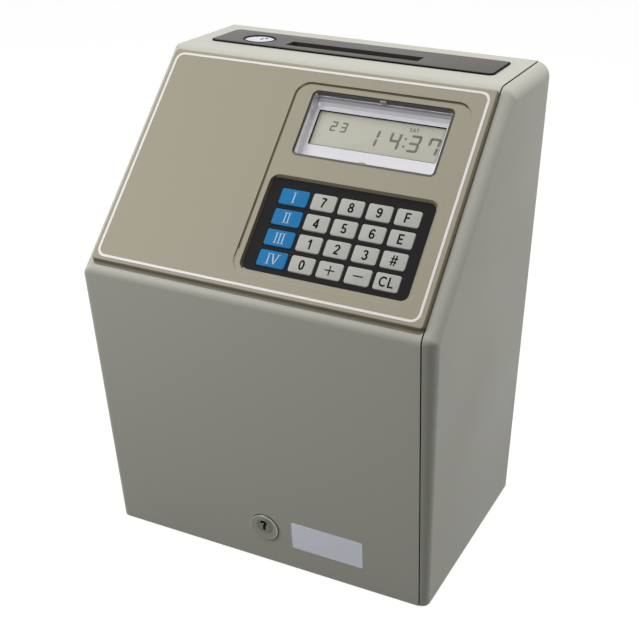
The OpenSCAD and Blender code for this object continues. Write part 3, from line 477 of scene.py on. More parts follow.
# Grey of the window's lip, also used as painted light on the right sides of the dark rings
LIP_AND_LIT_SIDE = material("lip_and_lit_side_grey", (92, 90, 85), spec=0.2)
LCD_FACE = material("lcd_grey", (213, 212, 195), 0.35, bump=0.02)
LCD_INK = material("lcd_ink", (124, 124, 114), bump=0.02)
BLACK = material("plate_black", (24, 22, 22), 0.6, bump=0.2, spec=0.12)
KEY_WHITE = material("key_white", (187, 187, 181), spec=0.3)
KEY_BLUE = material("key_blue", (10, 118, 176), spec=0.25)
INK = material("ink_black", (12, 12, 12), 0.6, bump=0.05, spec=0.06)
INK_WHITE = material("ink_white", (190, 215, 236), bump=0.05)
INSERT_M = material("insert_grey", (78, 74, 71), bump=0.25, grain=1600, speck=0.1, spec=0.35)
SPUN = dict(metal=1.0, stretch=(1, 1, 14))
BRIGHT = material("lock_bright", (116, 116, 110), 0.3, bump=0.06, speck=0.06, **SPUN)
POLISHED = material("lock_lip", (152, 152, 146), 0.22, bump=0.04, **SPUN)
DULL = material("lock_dull", (106, 105, 98), 0.38, metal=1.0, stretch=(12, 1, 1), bump=0.12, speck=0.08)
DISC = material("switch_white", (222, 222, 228), 0.4, metal=0.2, bump=0.12, speck=0.06)
FOIL = material("label_foil", (194, 197, 205), 0.4, metal=0.5, stretch=(1, 1, 30), bump=0.05)
# Painted shade: black for the ring round the liquid crystal, the keyway and keyhole shapes, and the line
# under the insert
DARK = material("shade_black", (12, 11, 11), 0.8, spec=0.08)
BOARD = material("board_green", (34, 88, 52), 0.35, grain=700, bump=0.15, speck=0.25)
SHEET = material("sheet_steel", (168, 168, 170), 0.4, metal=0.85, stretch=(1, 1, 18), bump=0.12,
                 speck=0.1, tone=0.05)
TURNED = material("turned_steel", (186, 186, 188), 0.26, metal=1.0, stretch=(22, 1, 1), bump=0.08)
MOTOR = material("motor_dark", (78, 78, 82), 0.42, metal=0.4, bump=0.15)
CREAM = material("gear_cream", (222, 214, 186), 0.42, bump=0.08)
MECH = material("mech_black", (46, 46, 48), bump=0.2)
KNOB = material("knob_blue", (30, 82, 152), 0.45, bump=0.15)
RUBBER = material("rubber_black", (34, 34, 34), 0.75, bump=0.5, grain=1200)
CHIP = material("chip_black", (30, 30, 32), 0.6, bump=0.3, grain=1500)
TIN = material("tin_pins", (196, 194, 188), 0.3, metal=1.0)
SLEEVE = material("can_sleeve", (28, 40, 92), 0.35, bump=0.08)
TAPE = material("coil_tape", (196, 158, 60), 0.4, bump=0.25, stretch=(1, 1, 6), speck=0.12)
CORE = material("core_plates", (92, 90, 88), metal=0.6, grain=900, stretch=(0.1, 3, 0.1), bump=0.6, speck=0.3)
RIBBON = material("ribbon_ink", (44, 34, 62), 0.7, bump=0.4, grain=3000)
CLEAR = clear_pane("window_clear")

# The solids that stay visible get the finish named by their slot
for row in record["subparts"]:
    mesh = frame["nodes"][row["node"]].data
    mesh.materials.clear()
    mesh.materials.append(FINISH[row["material_slot"]])

# Covers
N_FRONT = Vector((-cos(rad(BEND_B)), -sin(rad(BEND_B))))
N_SLOPE = Vector((-sin(rad(SLOPE_A)), cos(rad(SLOPE_A))))
N_TOP = Vector((0, 1))
BEND_STEPS, EDGE_STEPS, LEAST_R, SEAM_LIP, SEAM_STEP = 10, 12, 0.3, 0.3, 0.12


def outline(foot, edge, slope):
    """Foot, front, slope and top of the case, each given as x and how far it is set in."""
    pts = [(foot[0], Y_FOOT + foot[1] / cos(rad(BEND_B)), Z_BOT)]
    corners = (((Y_BEND, Z_BEND), BEND_R, N_FRONT, N_SLOPE, 180 + BEND_B, 90 + SLOPE_A, edge, slope),
               ((Y_TOP, Z_TOP), EDGE, N_SLOPE, N_TOP, 90 + SLOPE_A, 90, slope, edge))
    for corner, bend_r, n0, n1, a0, a1, (x0, d0), (x1, d1) in corners:
        r = max(bend_r - (d0 + d1) / 2, LEAST_R)
        k = n0.dot(n1)
        along0 = (d0 + r - k * (d1 + r)) / (1 - k * k)
        along1 = (d1 + r - k * (d0 + r)) / (1 - k * k)
        c = Vector(corner) - along0 * n0 - along1 * n1
        for i in range(BEND_STEPS + 1):
            a = rad(a0 + (a1 - a0) * i / BEND_STEPS)
            pts.append((x0 + (x1 - x0) * i / BEND_STEPS, c.x + r * cos(a), c.y + r * sin(a)))
    return pts + [(edge[0], Y_REAR, Z_TOP - edge[1])]


def cover(side, seam_x, side_x, side_r, slope_r, drop, foot):
    """Shell of one cover from its seam round the side edge to its side face, narrowed at the foot."""

    def stations(r, d0, x_end, lip):
        """Places as x and set-in from the seam to the side, round an edge of radius r."""
        flat_x = x_end - r
        lead = max(side * seam_x - flat_x, 0.0)
        end = d0 + r * (1 - cos(asin(lead / r)))
        out = side * SEAM_STEP
        rows = [(seam_x, end + lip), (seam_x + out, end + 0.3 * lip), (seam_x + 3.5 * out, end)]
        if side < 0:
            rows += [(flat_x - 12, d0), (-flat_x, d0)]
        t0 = asin((lead + 3.5 * out) / r) if side > 0 else 0.0
        for i in range(1, EDGE_STEPS + 1):
            t = t0 + (pi / 2 - t0) * i / EDGE_STEPS
            rows.append((side * (flat_x + r * sin(t)), d0 + r * (1 - cos(t))))
        return rows

    def sweep(d, lip):
        edges = stations(side_r - d, drop + d, side_x - d, lip)
        slopes = stations(slope_r - d, drop + d, side_x - d, lip)
        feet = [(seam_x + (x - seam_x) * foot, drop + (e - drop) * foot) for x, e in edges]
        return [outline(*row) for row in zip(feet, edges, slopes)]

    out, ins = sweep(0.0, SEAM_LIP), sweep(WALL, 0.0)
    rows, cols = len(out), len(out[0])
    pts = [p for r in out for p in r] + [p for r in ins for p in r]
    base, last = rows * cols, (rows - 1) * cols
    faces = []
    for a in range(0, last, cols):
        b = a + cols
        for j in range(cols - 1):
            q = (a + j, a + j + 1, b + j + 1, b + j)
            faces += [q, tuple(base + k for k in reversed(q))]
        for j in (0, cols - 1):
            faces.append((a + j, b + j, base + b + j, base + a + j))
    for j in range(cols - 1):
        faces.append((j, base + j, base + j + 1, j + 1))
    low = len(pts)
    pts += [(side * side_x, Y_REAR, Z_BOT), (side * (side_x - WALL), Y_REAR, Z_BOT)]
    faces += [(last, last + 1, low), tuple(last + j for j in range(1, cols)) + (low,)]
    faces += [(base + last + 1, base + last, low + 1)]
    faces += [tuple(base + last + j for j in range(cols - 1, 0, -1)) + (low + 1,)]
    faces.append((last, low, low + 1, base + last))
    faces.append((last + cols - 1, base + last + cols - 1, low + 1, low))
    return pts, faces


def hinge_lug(s):
    """Ear under the rear top edge that turns on the hinge pin."""
    low = [(EAR_R * cos(rad(a)), EAR_R * sin(rad(a))) for a in range(180, 361, 15)]
    rise = Z_TOP - WALL + WEB_BITE - HINGE_Z
    outer = low + [(EAR_R, rise), (-EAR_R, rise)]
    ear = band(outer, circle_in(outer, 0, 0, PIN_R), s * LUG_X - LUG_W / 2, s * LUG_X + LUG_W / 2)
    return moved(ear, shift(0, HINGE_Y, HINGE_Z) @ ALONG_X)


def web(y, face, top):
    """Tab for a screw of the right cover, bitten into the wall under top."""
    rect = (WEB_X, WEB_X + WEB_T, y - WEB_HALF, y + WEB_HALF)
    return slab(rect, face - WEB_IN - WEB_HALF, top - WALL + WEB_BITE, 0.5)


def cover_places():
    """Frames of the screws that hold the right cover to the webs, pointing right."""
    places = [ON_FRONT @ shift(0, h, -WEB_IN) @ ALONG_X for h in FRONT_HS]
    return places + [shift(0, y, Z_TOP - WEB_IN) @ ALONG_X for y in TOP_YS]


webs = [moved(web(h, 0, WEB_LEAN * h), ON_FRONT) for h in FRONT_HS]
webs += [web(y, Z_TOP, Z_TOP) for y in TOP_YS]
hatch = moved(slab(HATCH, -30, 5, 3), ON_SLOPE)
well = slab(inset(INSERT, 3.3), Z_TOP - 4, Z_TOP + 2, 2)
bore = moved(rod(BORE_R, -6, 3, 0), AT_LOCK)
shell = cover(-1, SEAM - GAP / 2, HALF_W, LEFT_R, LEFT_SLOPE_R, 0.0, 1.0)
main_cover = piece("cover_main", shell, "hood", COVER, cuts=[hatch, well, bore],
                   plus=webs + [hinge_lug(-1), hinge_lug(1)], node="main_cover", even=True)
boss_x0, boss_x1 = WEB_X + WEB_T, HALF_W - WALL + WEB_BITE
boss = lathe([
    (1.3, boss_x0 + 10), (1.3, boss_x0 + 0.05), (3.7, boss_x0 + 0.05), (4, boss_x0 + 0.4), (4, boss_x1),
    (0, boss_x1)], 32)
shell = cover(1, SEAM + GAP / 2, RIGHT_X, RIGHT_R, RIGHT_R, RIGHT_DROP, RIGHT_FOOT)
right_cover = piece("cover_right", shell, "hood", COVER, plus=[moved(boss, m) for m in cover_places()],
                    node="right_cover", even=True)
# Painted shadow on the walls of the seam between the covers
for half in (main_cover, right_cover):
    paint(half, SHADOW, lambda c, n: abs(abs(c.x - SEAM) - GAP / 2) < 0.07)

# Front panel with its recess, keypad opening and window opening
SKIN = 0.02
recess = taper(RECESS, RECESS_N, PANEL_T + 0.2, RECESS_R, RECESS_FLARE)
pad_cut = taper(OPENING, -0.3, RECESS_N + 0.4, OPENING_R, OPENING_FLARE)
window_cut = slab(WINDOW, -1, PANEL_T + 1, WINDOW_R)
panel = on_slope("panel", slab(PANEL, 0.05, PANEL_T, PANEL_R, PANEL_BEV, seg=6), PANEL_M,
                 cuts=[recess, pad_cut, window_cut], node="front_panel", even=True)


def recess_shade_walls(c, n):
    """Left and upper walls of the recess, chosen for painted shade."""
    left = c.x < RECESS[0] + 1 and c.y > RECESS[2] + 14
    top = c.y > RECESS[3] - 1 and c.x < RECESS[1] - 4
    return within(RECESS, 1, c) and (left or top) and RECESS_N + SKIN < c.z < PANEL_T - SKIN


def opening_bevel(c):
    return within(OPENING, 2.5, c) and 0.07 < c.z < RECESS_N - SKIN


def shaded_edges(c, n):
    """Right and lower edges of the panel, and the upper bevel of the key opening, which get painted shade."""
    edge = c.x > PANEL[1] - PANEL_BEV or c.y < PANEL[2] + PANEL_BEV
    outer = edge and not within(PANEL, -PANEL_BEV, c) and c.z < PANEL_T - 0.08
    return outer or opening_bevel(c) and c.y > OPENING[3] - 1


def paler_gap_shadow(c, n):
    """Right and lower sides of the painted shadow round the panel, which get a paler painted shade."""
    return c.x > PANEL[1] - 5.5 and PANEL[2] + 8 < c.y < PANEL[3] - 8 or c.y < PANEL[2] + 3


# Painted shade on the left and upper walls of the recess
paint(panel, SHADE, recess_shade_walls)
# Painted shade on the panel's right and lower edges and on the upper bevel of the key opening
paint(panel, RIM_SHADE, shaded_edges)
# Painted shade on the left bevel of the key opening
paint(panel, SHADOW, lambda c, n: opening_bevel(c) and c.x < OPENING[0] + 1)
under = inset(PANEL, 5)
gap_rect = (PANEL[0] + 0.3, PANEL[1] + 0.25, PANEL[2] - 0.7, PANEL[3] - 0.3)
# Dark strip peeking out under the panel's edge: a painted shadow, paler on its right and lower sides
gap_shadow = on_slope("panel_gap_shadow", border(gap_rect, PANEL_R, under, 2.0, SKIN, 0.6, FINE), SHADOW, PANEL_M)
paint(gap_shadow, RIM_SHADE, paler_gap_shadow)
# Grey strip below the panel's lower edge: the panel's soft shadow on the cover, painted
shadow_strip_rect = (PANEL[0] + 1, PANEL[1] - 0.4, PANEL[2] - 2.0, PANEL[3] - 1)
on_slope("panel_shadow_strip", border(shadow_strip_rect, PANEL_R, under, 2.0, SKIN, 0.2, FINE), SHADOW_STRIP, PANEL_M)
STRIPE_HALF, LINE_W, LINE_R = 0.75, 0.8, 8.6
stripe = (PANEL[0] + 3.1, PANEL[1] - 4.1, PANEL[2] + 3.5, PANEL[3] - 3.4)
outer, inner = inset(stripe, -STRIPE_HALF), inset(stripe, STRIPE_HALF)
line = border(outer, 5.6, inner, 4.4, PANEL_T - 0.1, PANEL_T + 0.12, 10)
on_slope("pinstripe", line, STRIPE, PANEL_M)
# Brown strip of painted shade along the foot of the recess's left and upper walls
x0, x1, u0, u1 = inset(RECESS, LINE_W / 2)
path = [(x0, u0 + 13.6), (x0, u0 + 60)]
for x, a0, a1 in ((x0 + LINE_R, 180, 90), (x1 - LINE_R, 90, 50)):
    path += bow(x, u1 - LINE_R, LINE_R, LINE_R, a0, a1)
on_slope("recess_shade_line", stroke(path, LINE_W, RECESS_N - 0.1, RECESS_N + 0.04), SHADE, PANEL_M)

# Display: gasket, clips, pane, silver frame, liquid crystal with a black ring of painted shade round its
# edge, and its figures
GASKET_W, PANE_N, PANE_T, FRAME_N = 1.5, -0.8, 0.8, -1.75
window_rings = (
    ("window_gasket", 0.0, 0.45, PANE_N, RECESS_N + 0.1, GASKET),
    ("window_lip", 0.4, GASKET_W, FRAME_N, 1.35, LIP_AND_LIT_SIDE),
    ("window_line", GASKET_W - 0.5, GASKET_W - 0.05, 0.9, 1.45, GASKET))
for name, d0, d1, low, top, mat in window_rings:
    shape = border(inset(WINDOW, d0), WINDOW_R - d0, inset(WINDOW, d1), WINDOW_R - d1, low, top, FINE)
    ring = on_slope(name, shape, mat, BLACK)
    # Painted light on the lower sides of the rings
    paint(ring, GASKET_LIT, lambda c, n: c.y < WINDOW[2] + 2)
    # Painted light on the right sides of the rings
    paint(ring, LIP_AND_LIT_SIDE, lambda c, n: c.x > WINDOW[1] - 2 and c.y > WINDOW[2] + 6)
    # Painted light on the inner faces at the left of the window rings
    paint(ring, BEZEL_LIT, lambda c, n: n.x > 0.5 and GASKET_W - 0.2 < c.x - WINDOW[0] < 4)
clip_x = middle(WINDOW)[0]
clips = [slab((clip_x - 2, clip_x + 2, u - 0.7, u + 0.7), PANE_N + 0.1, RECESS_N - 0.2, 0.4, 0.2)
         for u in (WINDOW[2] + GASKET_W, WINDOW[3] - GASKET_W)]
on_slope("window_clips", merge(*clips), CLIP, BLACK)
on_slope("window_pane", slab(inset(WINDOW, GASKET_W + 0.05), PANE_N - PANE_T, PANE_N, 2.1), CLEAR,
         node="display_window")
# Walls of the frame from the liquid crystal up: depth, how far set in, and how far the top leans in
frame_walls = [(LCD_SINK, 2.0, 4.0), (3.9, 1.8, 2.4), (2.6, 1.62, 1.0), (1.7, 1.48, 0.2), (-0.4, 1.4, 0.0)]
rings = []
for depth, d, lean in frame_walls:
    rect = (WINDOW[0] + d + lean / 9, WINDOW[1] - d, WINDOW[2] + d, WINDOW[3] - d - lean)
    rings.append(at_z(rrect(rect, 2.4, FINE), -depth))
silver = on_slope("display_frame", slab(inset(WINDOW, -4.5), LCD_N + 0.05, FRAME_N, 2), BEZEL,
                  cuts=[loft(rings), slab(LCD, -20, 1, 0.8)], node="display_bezel")


# Upper wall of the frame, which gets painted shade
def top_wall(c, n):
    return n.y < -0.3 and c.y > WINDOW[3] - 6


# Painted light on the frame's left wall
paint(silver, BEZEL_LIT, lambda c, n: n.x > 0.3 and c.x < LCD[0] and -LCD_SINK < c.z)
# Painted shade on the frame's upper wall, deepest near the rim
paint(silver, BEZEL_HALF_SHADE, lambda c, n: top_wall(c, n) and -3.9 < c.z < -2.6)
paint(silver, BEZEL_SHADE, lambda c, n: top_wall(c, n) and c.z > -2.6)
glass = (WINDOW[0] + 3.5, WINDOW[1] - 3.5, WINDOW[2] + 4.5, WINDOW[3] - 4.5)
on_slope("lcd", slab(glass, LCD_N - 1.75, LCD_N, 0.4, 0.1), LCD_FACE, node="display_glass")
# Black ring of painted shade round the liquid crystal's opening
lcd_edge_shade = border(LCD, 0.8, inset(LCD, 0.25), 0.55, LCD_N + SKIN, -LCD_SINK - 0.05)
on_slope("lcd_edge_shade", lcd_edge_shade, DARK, LCD_FACE)
LEAN, PRINT_LOW, PRINT_HIGH = 0.09, 0.01, 0.05
SEGS = {"1": "bc", "2": "abged", "3": "abgcd", "4": "fgbc", "7": "fabc"}


def printed(pts, z):
    """Flat sign just above level z."""
    return prism(pts, z + PRINT_LOW, z + PRINT_HIGH)


def figure(segs, x, y, w, h, t):
    """One seven-segment figure as a shape, lower left at x, y."""
    g, m = t * 0.12, h / 2
    bars = {"a": (0, h - t), "g": (0, m - t / 2), "d": (0, 0), "f": (0, m), "b": (w - t, m), "e": (0, 0),
            "c": (w - t, 0)}
    parts = []
    for s in segs:
        bx, by = bars[s]
        l = w if s in "agd" else m
        tip, end = g + t / 2, l - g - t / 2
        pts = [(tip, 0), (end, 0), (l - g, t / 2), (end, t), (tip, t), (g, t / 2)]
        if s not in "agd":
            pts = [(py, px) for px, py in pts]
        parts.append(printed([(x + bx + px + LEAN * (by + py), y + by + py) for px, py in pts], LCD_N))
    return merge(*parts)


# Lettering in strokes: each letter is a list of paths in a box one unit high
SIX = [bow(0.28, 0.3, 0.2, 0.22, 0, 360, 20), bow(0.3, 0.5, 0.22, 0.42, 38, 180) + [(0.08, 0.3)]]
STEM_AND_TOP = [[(0.1, 0), (0.1, 1)], [(0.1, 0.92), (0.54, 0.92)]]
LETTERS = {
    "0": [bow(0.28, 0.5, 0.2, 0.42, 0, 360, 20)],
    "1": [[(0.06, 0.72), (0.2, 0.77), (0.28, 0.92)], [(0.32, 0), (0.32, 1)]],
    "2": [bow(0.28, 0.69, 0.2, 0.23, 170, -32) + [(0.09, 0.1)], [(0.05, 0.08), (0.5, 0.08)]],
    "3": [bow(0.27, 0.72, 0.18, 0.2, 165, -90), bow(0.27, 0.3, 0.21, 0.22, 90, -165)],
    "4": [[(0.39, 0), (0.39, 0.98)], [(0.37, 0.92), (0.06, 0.3)], [(0.02, 0.27), (0.54, 0.27)]],
    "5": [[(0.47, 0.92), (0.15, 0.92)], [(0.15, 0.95), (0.1, 0.46)], bow(0.27, 0.31, 0.2, 0.23, 138, -160)],
    "6": SIX,
    "7": [[(0.04, 0.92), (0.52, 0.92)], [(0.49, 0.9), (0.3, 0.5), (0.2, 0)]],
    "8": [bow(0.28, 0.72, 0.17, 0.2, 0, 360, 20), bow(0.28, 0.29, 0.21, 0.21, 0, 360, 20)],
    "9": [[(0.56 - x, 1 - y) for x, y in path] for path in SIX],
    "E": STEM_AND_TOP + [[(0.1, 0.5), (0.5, 0.5)], [(0.1, 0.08), (0.55, 0.08)]],
    "F": STEM_AND_TOP + [[(0.1, 0.5), (0.48, 0.5)]],
    "CL": [bow(0.4, 0.5, 0.33, 0.42, 45, 315, 18), [(0.95, 1), (0.95, 0)], [(0.95, 0.08), (1.42, 0.08)]],
    "S": [bow(0.28, 0.71, 0.2, 0.21, 35, 270), bow(0.28, 0.29, 0.2, 0.21, 90, -145)],
    "A": [[(0, 0), (0.28, 0.98)], [(0.28, 0.98), (0.56, 0)], [(0.1, 0.32), (0.46, 0.32)]],
    "T": [[(0, 0.92), (0.56, 0.92)], [(0.28, 0), (0.28, 1)]],
    "HASH": [[(0.18, 0), (0.28, 1)], [(0.44, 0), (0.54, 1)], [(0.02, 0.34), (0.64, 0.34)],
             [(0.08, 0.66), (0.7, 0.66)]],
    "PLUS": [[(0, 0.5), (1, 0.5)], [(0.5, 0), (0.5, 1)]],
    "MINUS": [[(0, 0.5), (1, 0.5)]],
}


def lettering(paths, cap_h, w, x, y, z):
    """Flat letters of stroke width w, centred on x and y."""
    xs = [px for path in paths for px, py in path]
    dx = (min(xs) + max(xs)) / 2
    shapes = []
    for path in paths:
        pts = [(x + (px - dx) * cap_h, y + (py - 0.5) * cap_h) for px, py in path]
        closed = dist(pts[0], pts[-1]) < 1e-6
        shapes.append(stroke(pts[:-1] if closed else pts, w, z + PRINT_LOW, z + PRINT_HIGH, closed))
    return merge(*shapes)


BIG_XS, BIG_U, BIG_W, BIG_H, BIG_T = (33.3, 46.8, 58.8, 70.4), 109.0, 6.8, 11.2, 1.55
SMALL_XS, SMALL_U, SMALL_W, SMALL_H, SMALL_T = (9.2, 9.2 + 6.4), 115.0, 3.9, 6.5, 0.95
DOT_X, DOT_US, DOT_W = 56.3, (111.4, 116.4), 1.3
DAY_X, DAY_U, DAY_H, DAY_W, DAY_PX = 60.4, 123.2, 2.6, 0.42, 0.78
ink = [figure(SEGS[ch], x, BIG_U, BIG_W, BIG_H, BIG_T) for x, ch in zip(BIG_XS, "1437")]
ink += [figure(SEGS[ch], x, SMALL_U, SMALL_W, SMALL_H, SMALL_T) for x, ch in zip(SMALL_XS, "23")]
ink += [printed(rrect((DOT_X, DOT_X + DOT_W, u, u + DOT_W), 0.2), LCD_N) for u in DOT_US]
day = [[(x + DAY_PX * i, y) for x, y in path] for i, ch in enumerate("SAT") for path in LETTERS[ch]]
ink.append(lettering(day, DAY_H, DAY_W, DAY_X, DAY_U, LCD_N))
on_slope("lcd_figures", merge(*ink), LCD_INK, LCD_FACE)

# Keypad
KEY_X0, KEY_U0, WIDE_GAP = PAD[0] + 6.205, PAD[2] + 3.195, 3.6
COLUMNS = ("iv iii ii i", "0 1 4 7", "plus 2 5 8", "minus 3 6 9", "cl hash e f")
KEYS = [(c, r, sign) for c, column in enumerate(COLUMNS) for r, sign in enumerate(column.split())]


def key_rect(c, r):
    kx = KEY_X0 + (0 if c == 0 else WIDE_W + WIDE_GAP + (c - 1) * KEY_PX)
    ku = KEY_U0 + r * KEY_PU
    return kx, kx + (WIDE_W if c == 0 else KEY_W), ku, ku + KEY_H


def cap_rect(c, r):
    """Cap outline as seen, less than 1 mm off the solid's, on the same stem."""
    x0, x1, u0, u1 = key_rect(c, r)
    dx, grow = (0.0, 0.18) if c == 0 else (0.28 * (c - 1) - 0.86, 0.25)
    return x0 + dx - grow, x1 + dx + grow, u0, u1


holes = merge(*[slab(inset(cap_rect(c, r), -0.35), -5, 2, 1.2) for c, r, _ in KEYS])
on_slope("keypad_plate", slab(inset(PAD, -3.5), -1.65, -0.05, 2), BLACK, cuts=[holes], node="key_plate")
ROMAN_H, ROMAN_T, ROMAN_FOOT, SERIF, VEE_SERIF = 6.5, 0.66, 2.0, 0.36, 0.4


def bar(x0, x1, y0, y1):
    return [(x0, y0), (x1, y0), (x1, y1), (x0, y1)]


def upright(x, y):
    """Roman one with serifs, its foot centred on x."""
    half, foot, top = ROMAN_T / 2, ROMAN_FOOT / 2, y + ROMAN_H
    return [bar(x - half, x + half, y, top), bar(x - foot, x + foot, y, y + SERIF),
            bar(x - foot, x + foot, top - SERIF, top)]


def vee(x, y):
    """Roman five with serifs, its tip at x."""
    top = y + ROMAN_H
    return [[(x - 0.3, y), (x + 0.4, y), (x - 1.35, top), (x - 2.3, top)],
            [(x - 0.15, y), (x + 0.35, y), (x + 2.25, top), (x + 1.65, top)],
            bar(x - 2.9, x - 0.8, top - VEE_SERIF, top), bar(x + 1.05, x + 2.9, top - VEE_SERIF, top)]


ROMAN = {"i": (0,), "ii": (-1.1, 1.1), "iii": (-2.2, 0, 2.2), "iv": (-2.4,)}
FLANGE_N, STEM_N, STEM_R = -2.0, -6.25, 1.5
CAP_H, CAP_W = 6.1, 1.02
SIGNS = {"plus": (5.9, 0.72), "minus": (5.9, 0.72), "hash": (6.4, 0.78)}
for c, r, sign in KEYS:
    key, rect, seen = "key_" + sign, key_rect(c, r), cap_rect(c, r)
    mx, mu = middle(seen)
    cap = merge(slab(seen, FLANGE_N - 0.2, KEY_TOP, 1.3, 0.45),
                slab(inset(rect, -0.8), FLANGE_N - 1.25, FLANGE_N, 0.4),
                moved(rod(STEM_R, STEM_N, FLANGE_N - 1, 0.2, 20), shift(middle(rect)[0], mu, 0)))
    if c == 0:
        mat, print_mat = KEY_BLUE, INK_WHITE
        strokes = [s for dx in ROMAN[sign] for s in upright(mx + dx, mu - ROMAN_H / 2)]
        if sign == "iv":
            strokes += vee(mx + 1.6, mu - ROMAN_H / 2)
        legend = merge(*[printed(s, KEY_TOP) for s in strokes])
    else:
        mat, print_mat = KEY_WHITE, INK
        legend = lettering(LETTERS[sign.upper()], *SIGNS.get(sign, (CAP_H, CAP_W)), mx, mu, KEY_TOP)
    piece("cap_" + sign, cap, key + "_cap", mat, ON_SLOPE, node=key)
    piece("legend_" + sign, legend, key + "_cap", print_mat, ON_SLOPE, slot=mat)

# Front board with its key switches and plug
board = (PAD[0] - 3, PAD[1] + 3, PAD[2] - 3, WINDOW[3] + 4)
board_low, plug_u = BOARD_N - BOARD_T, PAD[3] + 4
on_slope("key_board", slab(board, board_low, BOARD_N, 0.8), BOARD, node="front_board")
switches = []
for c, r, _ in KEYS:
    mx, mu = middle(key_rect(c, r))
    body = rrect((mx - 3, mx + 3, mu - 3, mu + 3), 0.5, 4)
    switches.append(band(body, circle_in(body, mx, mu, 1.85), BOARD_N, SWITCH_N))
on_slope("key_switches", merge(*switches), CHIP, BOARD)
plug = slab((10, 44, plug_u, plug_u + 6), board_low - 6, board_low, 0.5)
on_slope("key_board_plug", plug, CREAM, BOARD)

# Top insert with its card slot, a black base line that is partly painted shadow, and key switch
CHUTE_Z, LEDGE_Z, SEAT_Z = Z_TOP - 9, Z_TOP - 1.8, Z_TOP + 0.05
tongue, chute = inset(INSERT, 3.6), inset(SLOT, -2)
mouth = (SLOT[0] - 0.3, SLOT[1] + 0.3, SLOT[2] - 4.2, SLOT[3] + 0.3)
levels = ((SLOT, Z_TOP - 1.4), (mouth, INSERT_Z - 0.6), (mouth, INSERT_Z + 1))
funnel = loft([at_z(rrect(rect, SLOT_R), z) for rect, z in levels])
steps = [(chute, CHUTE_Z, SLOT_R), (chute, LEDGE_Z, SLOT_R), (tongue, LEDGE_Z, 1.7), (tongue, SEAT_Z, 1.7),
         (INSERT, SEAT_Z, INSERT_R)]
rings = [at_z(rrect(rect, r), z) for rect, z, r in steps] + rounded_top(INSERT, INSERT_Z, INSERT_R, 0.35)
bores = [moved(rod(r, z0, 5, 0), AT_SWITCH) for r, z0 in ((BORE_R, -12), (10.8, -2))]
insert = piece("insert", loft(rings), "hood", INSERT_M, node="top_insert",
               cuts=[slab(SLOT, Z_TOP - 10, Z_TOP + 5, SLOT_R), funnel] + bores)
# Painted shade on the faces inside the slot's mouth
paint(insert, CHUTE_SHADE, lambda c, n: within(mouth, 0.1, c) and CHUTE_Z + 0.1 < c.z < INSERT_Z - SKIN)
# Black ring under the insert: its dark base, and painted shadow for the gap round it
base_shadow_line = border(inset(INSERT, -1.0), 3.6, inset(INSERT, 1), 2.2, Z_TOP - 0.2, Z_TOP + 0.85)
piece("insert_base_shadow", base_shadow_line, "hood", DARK, slot=BLACK)
DISC_N = -0.5
switch_ring = lathe([
    (5.55, -15.2), (8, -15.2), (8, -1.95), (10.5, -1.95), (10.5, 0.1), (10.35, 0.25), (10, 0.25), (9.85, 0),
    (9.85, -1.4), (5.55, -1.4), (5.55, -15.2)])
switch_disc = lathe([
    (0, -18.7), (7.5, -18.7), (7.5, -15.7), (5.5, -15.7), (5.5, -1.1), (9.5, -1.1), (9.5, -0.75),
    (9.25, DISC_N), (5.6, DISC_N), (5.4, -0.65), (5.2, -0.65), (5, DISC_N), (0, DISC_N)])
# Flat black marks of painted shade stand in for the switch's keyway openings
hole = moved(rod(1, DISC_N, -0.45, 0, 16), shift(2.4, 5, 0))
marks = merge(prism(rrect((-0.1, 1.2, 0, 4.2), 0.4), DISC_N, -0.46), hole)
piece("switch_ring", switch_ring, "hood", BLACK, AT_SWITCH, node="switch_housing")
piece("switch_disc", switch_disc, "switch_body", DISC, AT_SWITCH, node="switch_rotor", slot=BRIGHT)
piece("switch_keyway", marks, "switch_body", DARK, AT_SWITCH, slot=DULL)

# Front lock with its keyhole as a flat shape of painted shade, and the blank label
LOCK_N = 0.9
lock_ring = lathe([
    (5.55, -22), (8, -22), (8, 0.05), (9.8, 0.05), (9.8, 1.0), (9.55, 1.5), (9.1, 1.7), (8.6, 1.6),
    (6.6, 0.7), (6.2, 0.6), (5.55, 0.6), (5.55, -22)])
lock_face = lathe([
    (0, -28), (5, -28), (5, -26.1), (3.5, -26.1), (3.5, -22.4), (5.5, -22.4), (5.5, 0.6), (5.2, LOCK_N),
    (4.4, LOCK_N), (4.2, 0.75), (4.0, 0.75), (3.8, LOCK_N), (0, LOCK_N)])
# Keyhole: a flat black shape of painted shade in place of an opening
hook = bow(-0.5, 2.7, 1.4, 1.4, 190, -50) + [(0, 0.9), (-0.15, -0.6), (-0.2, -2.6)]
ring = piece("lock_ring", lock_ring, "hood", BRIGHT, AT_LOCK, node="lock_housing")
paint(ring, POLISHED, lambda c, n: hypot(c.x, c.y) > 8.95 and c.z > LOCK_N)
piece("lock_face", lock_face, "lock_body", DULL, AT_LOCK, node="lock_plug")
piece("lock_keyhole", stroke(hook, 1.85, LOCK_N, 0.94), "lock_body", DARK, AT_LOCK, slot=DULL)
LABEL = (19.1, 67.5, 17.4, 38.4)
piece("label_plate", slab(LABEL, SKIN, 0.22, 0.8, 0.08), "hood", FOIL, ON_FACE, slot=BRIGHT)

# Main board: sheet, chips with pins, plugs, cans, buzzer and power block
b_lo, b_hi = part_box("main_board")
BX, BY, BW, BD = b_lo.x * PER_M, b_lo.y * PER_M, (b_hi.x - b_lo.x) * PER_M, (b_hi.y - b_lo.y) * PER_M
B_Z, B_TOP = b_lo.z * PER_M, b_lo.z * PER_M + BOARD_T
CHIP_H, PIN_H, PIN_PX, PLUG_H, CAN_H, CAN_R, POST_IN, SCREW_BORE_R = 3.5, 1.9, 2.54, 8.0, 16.0, 5.0, 6, 1.6


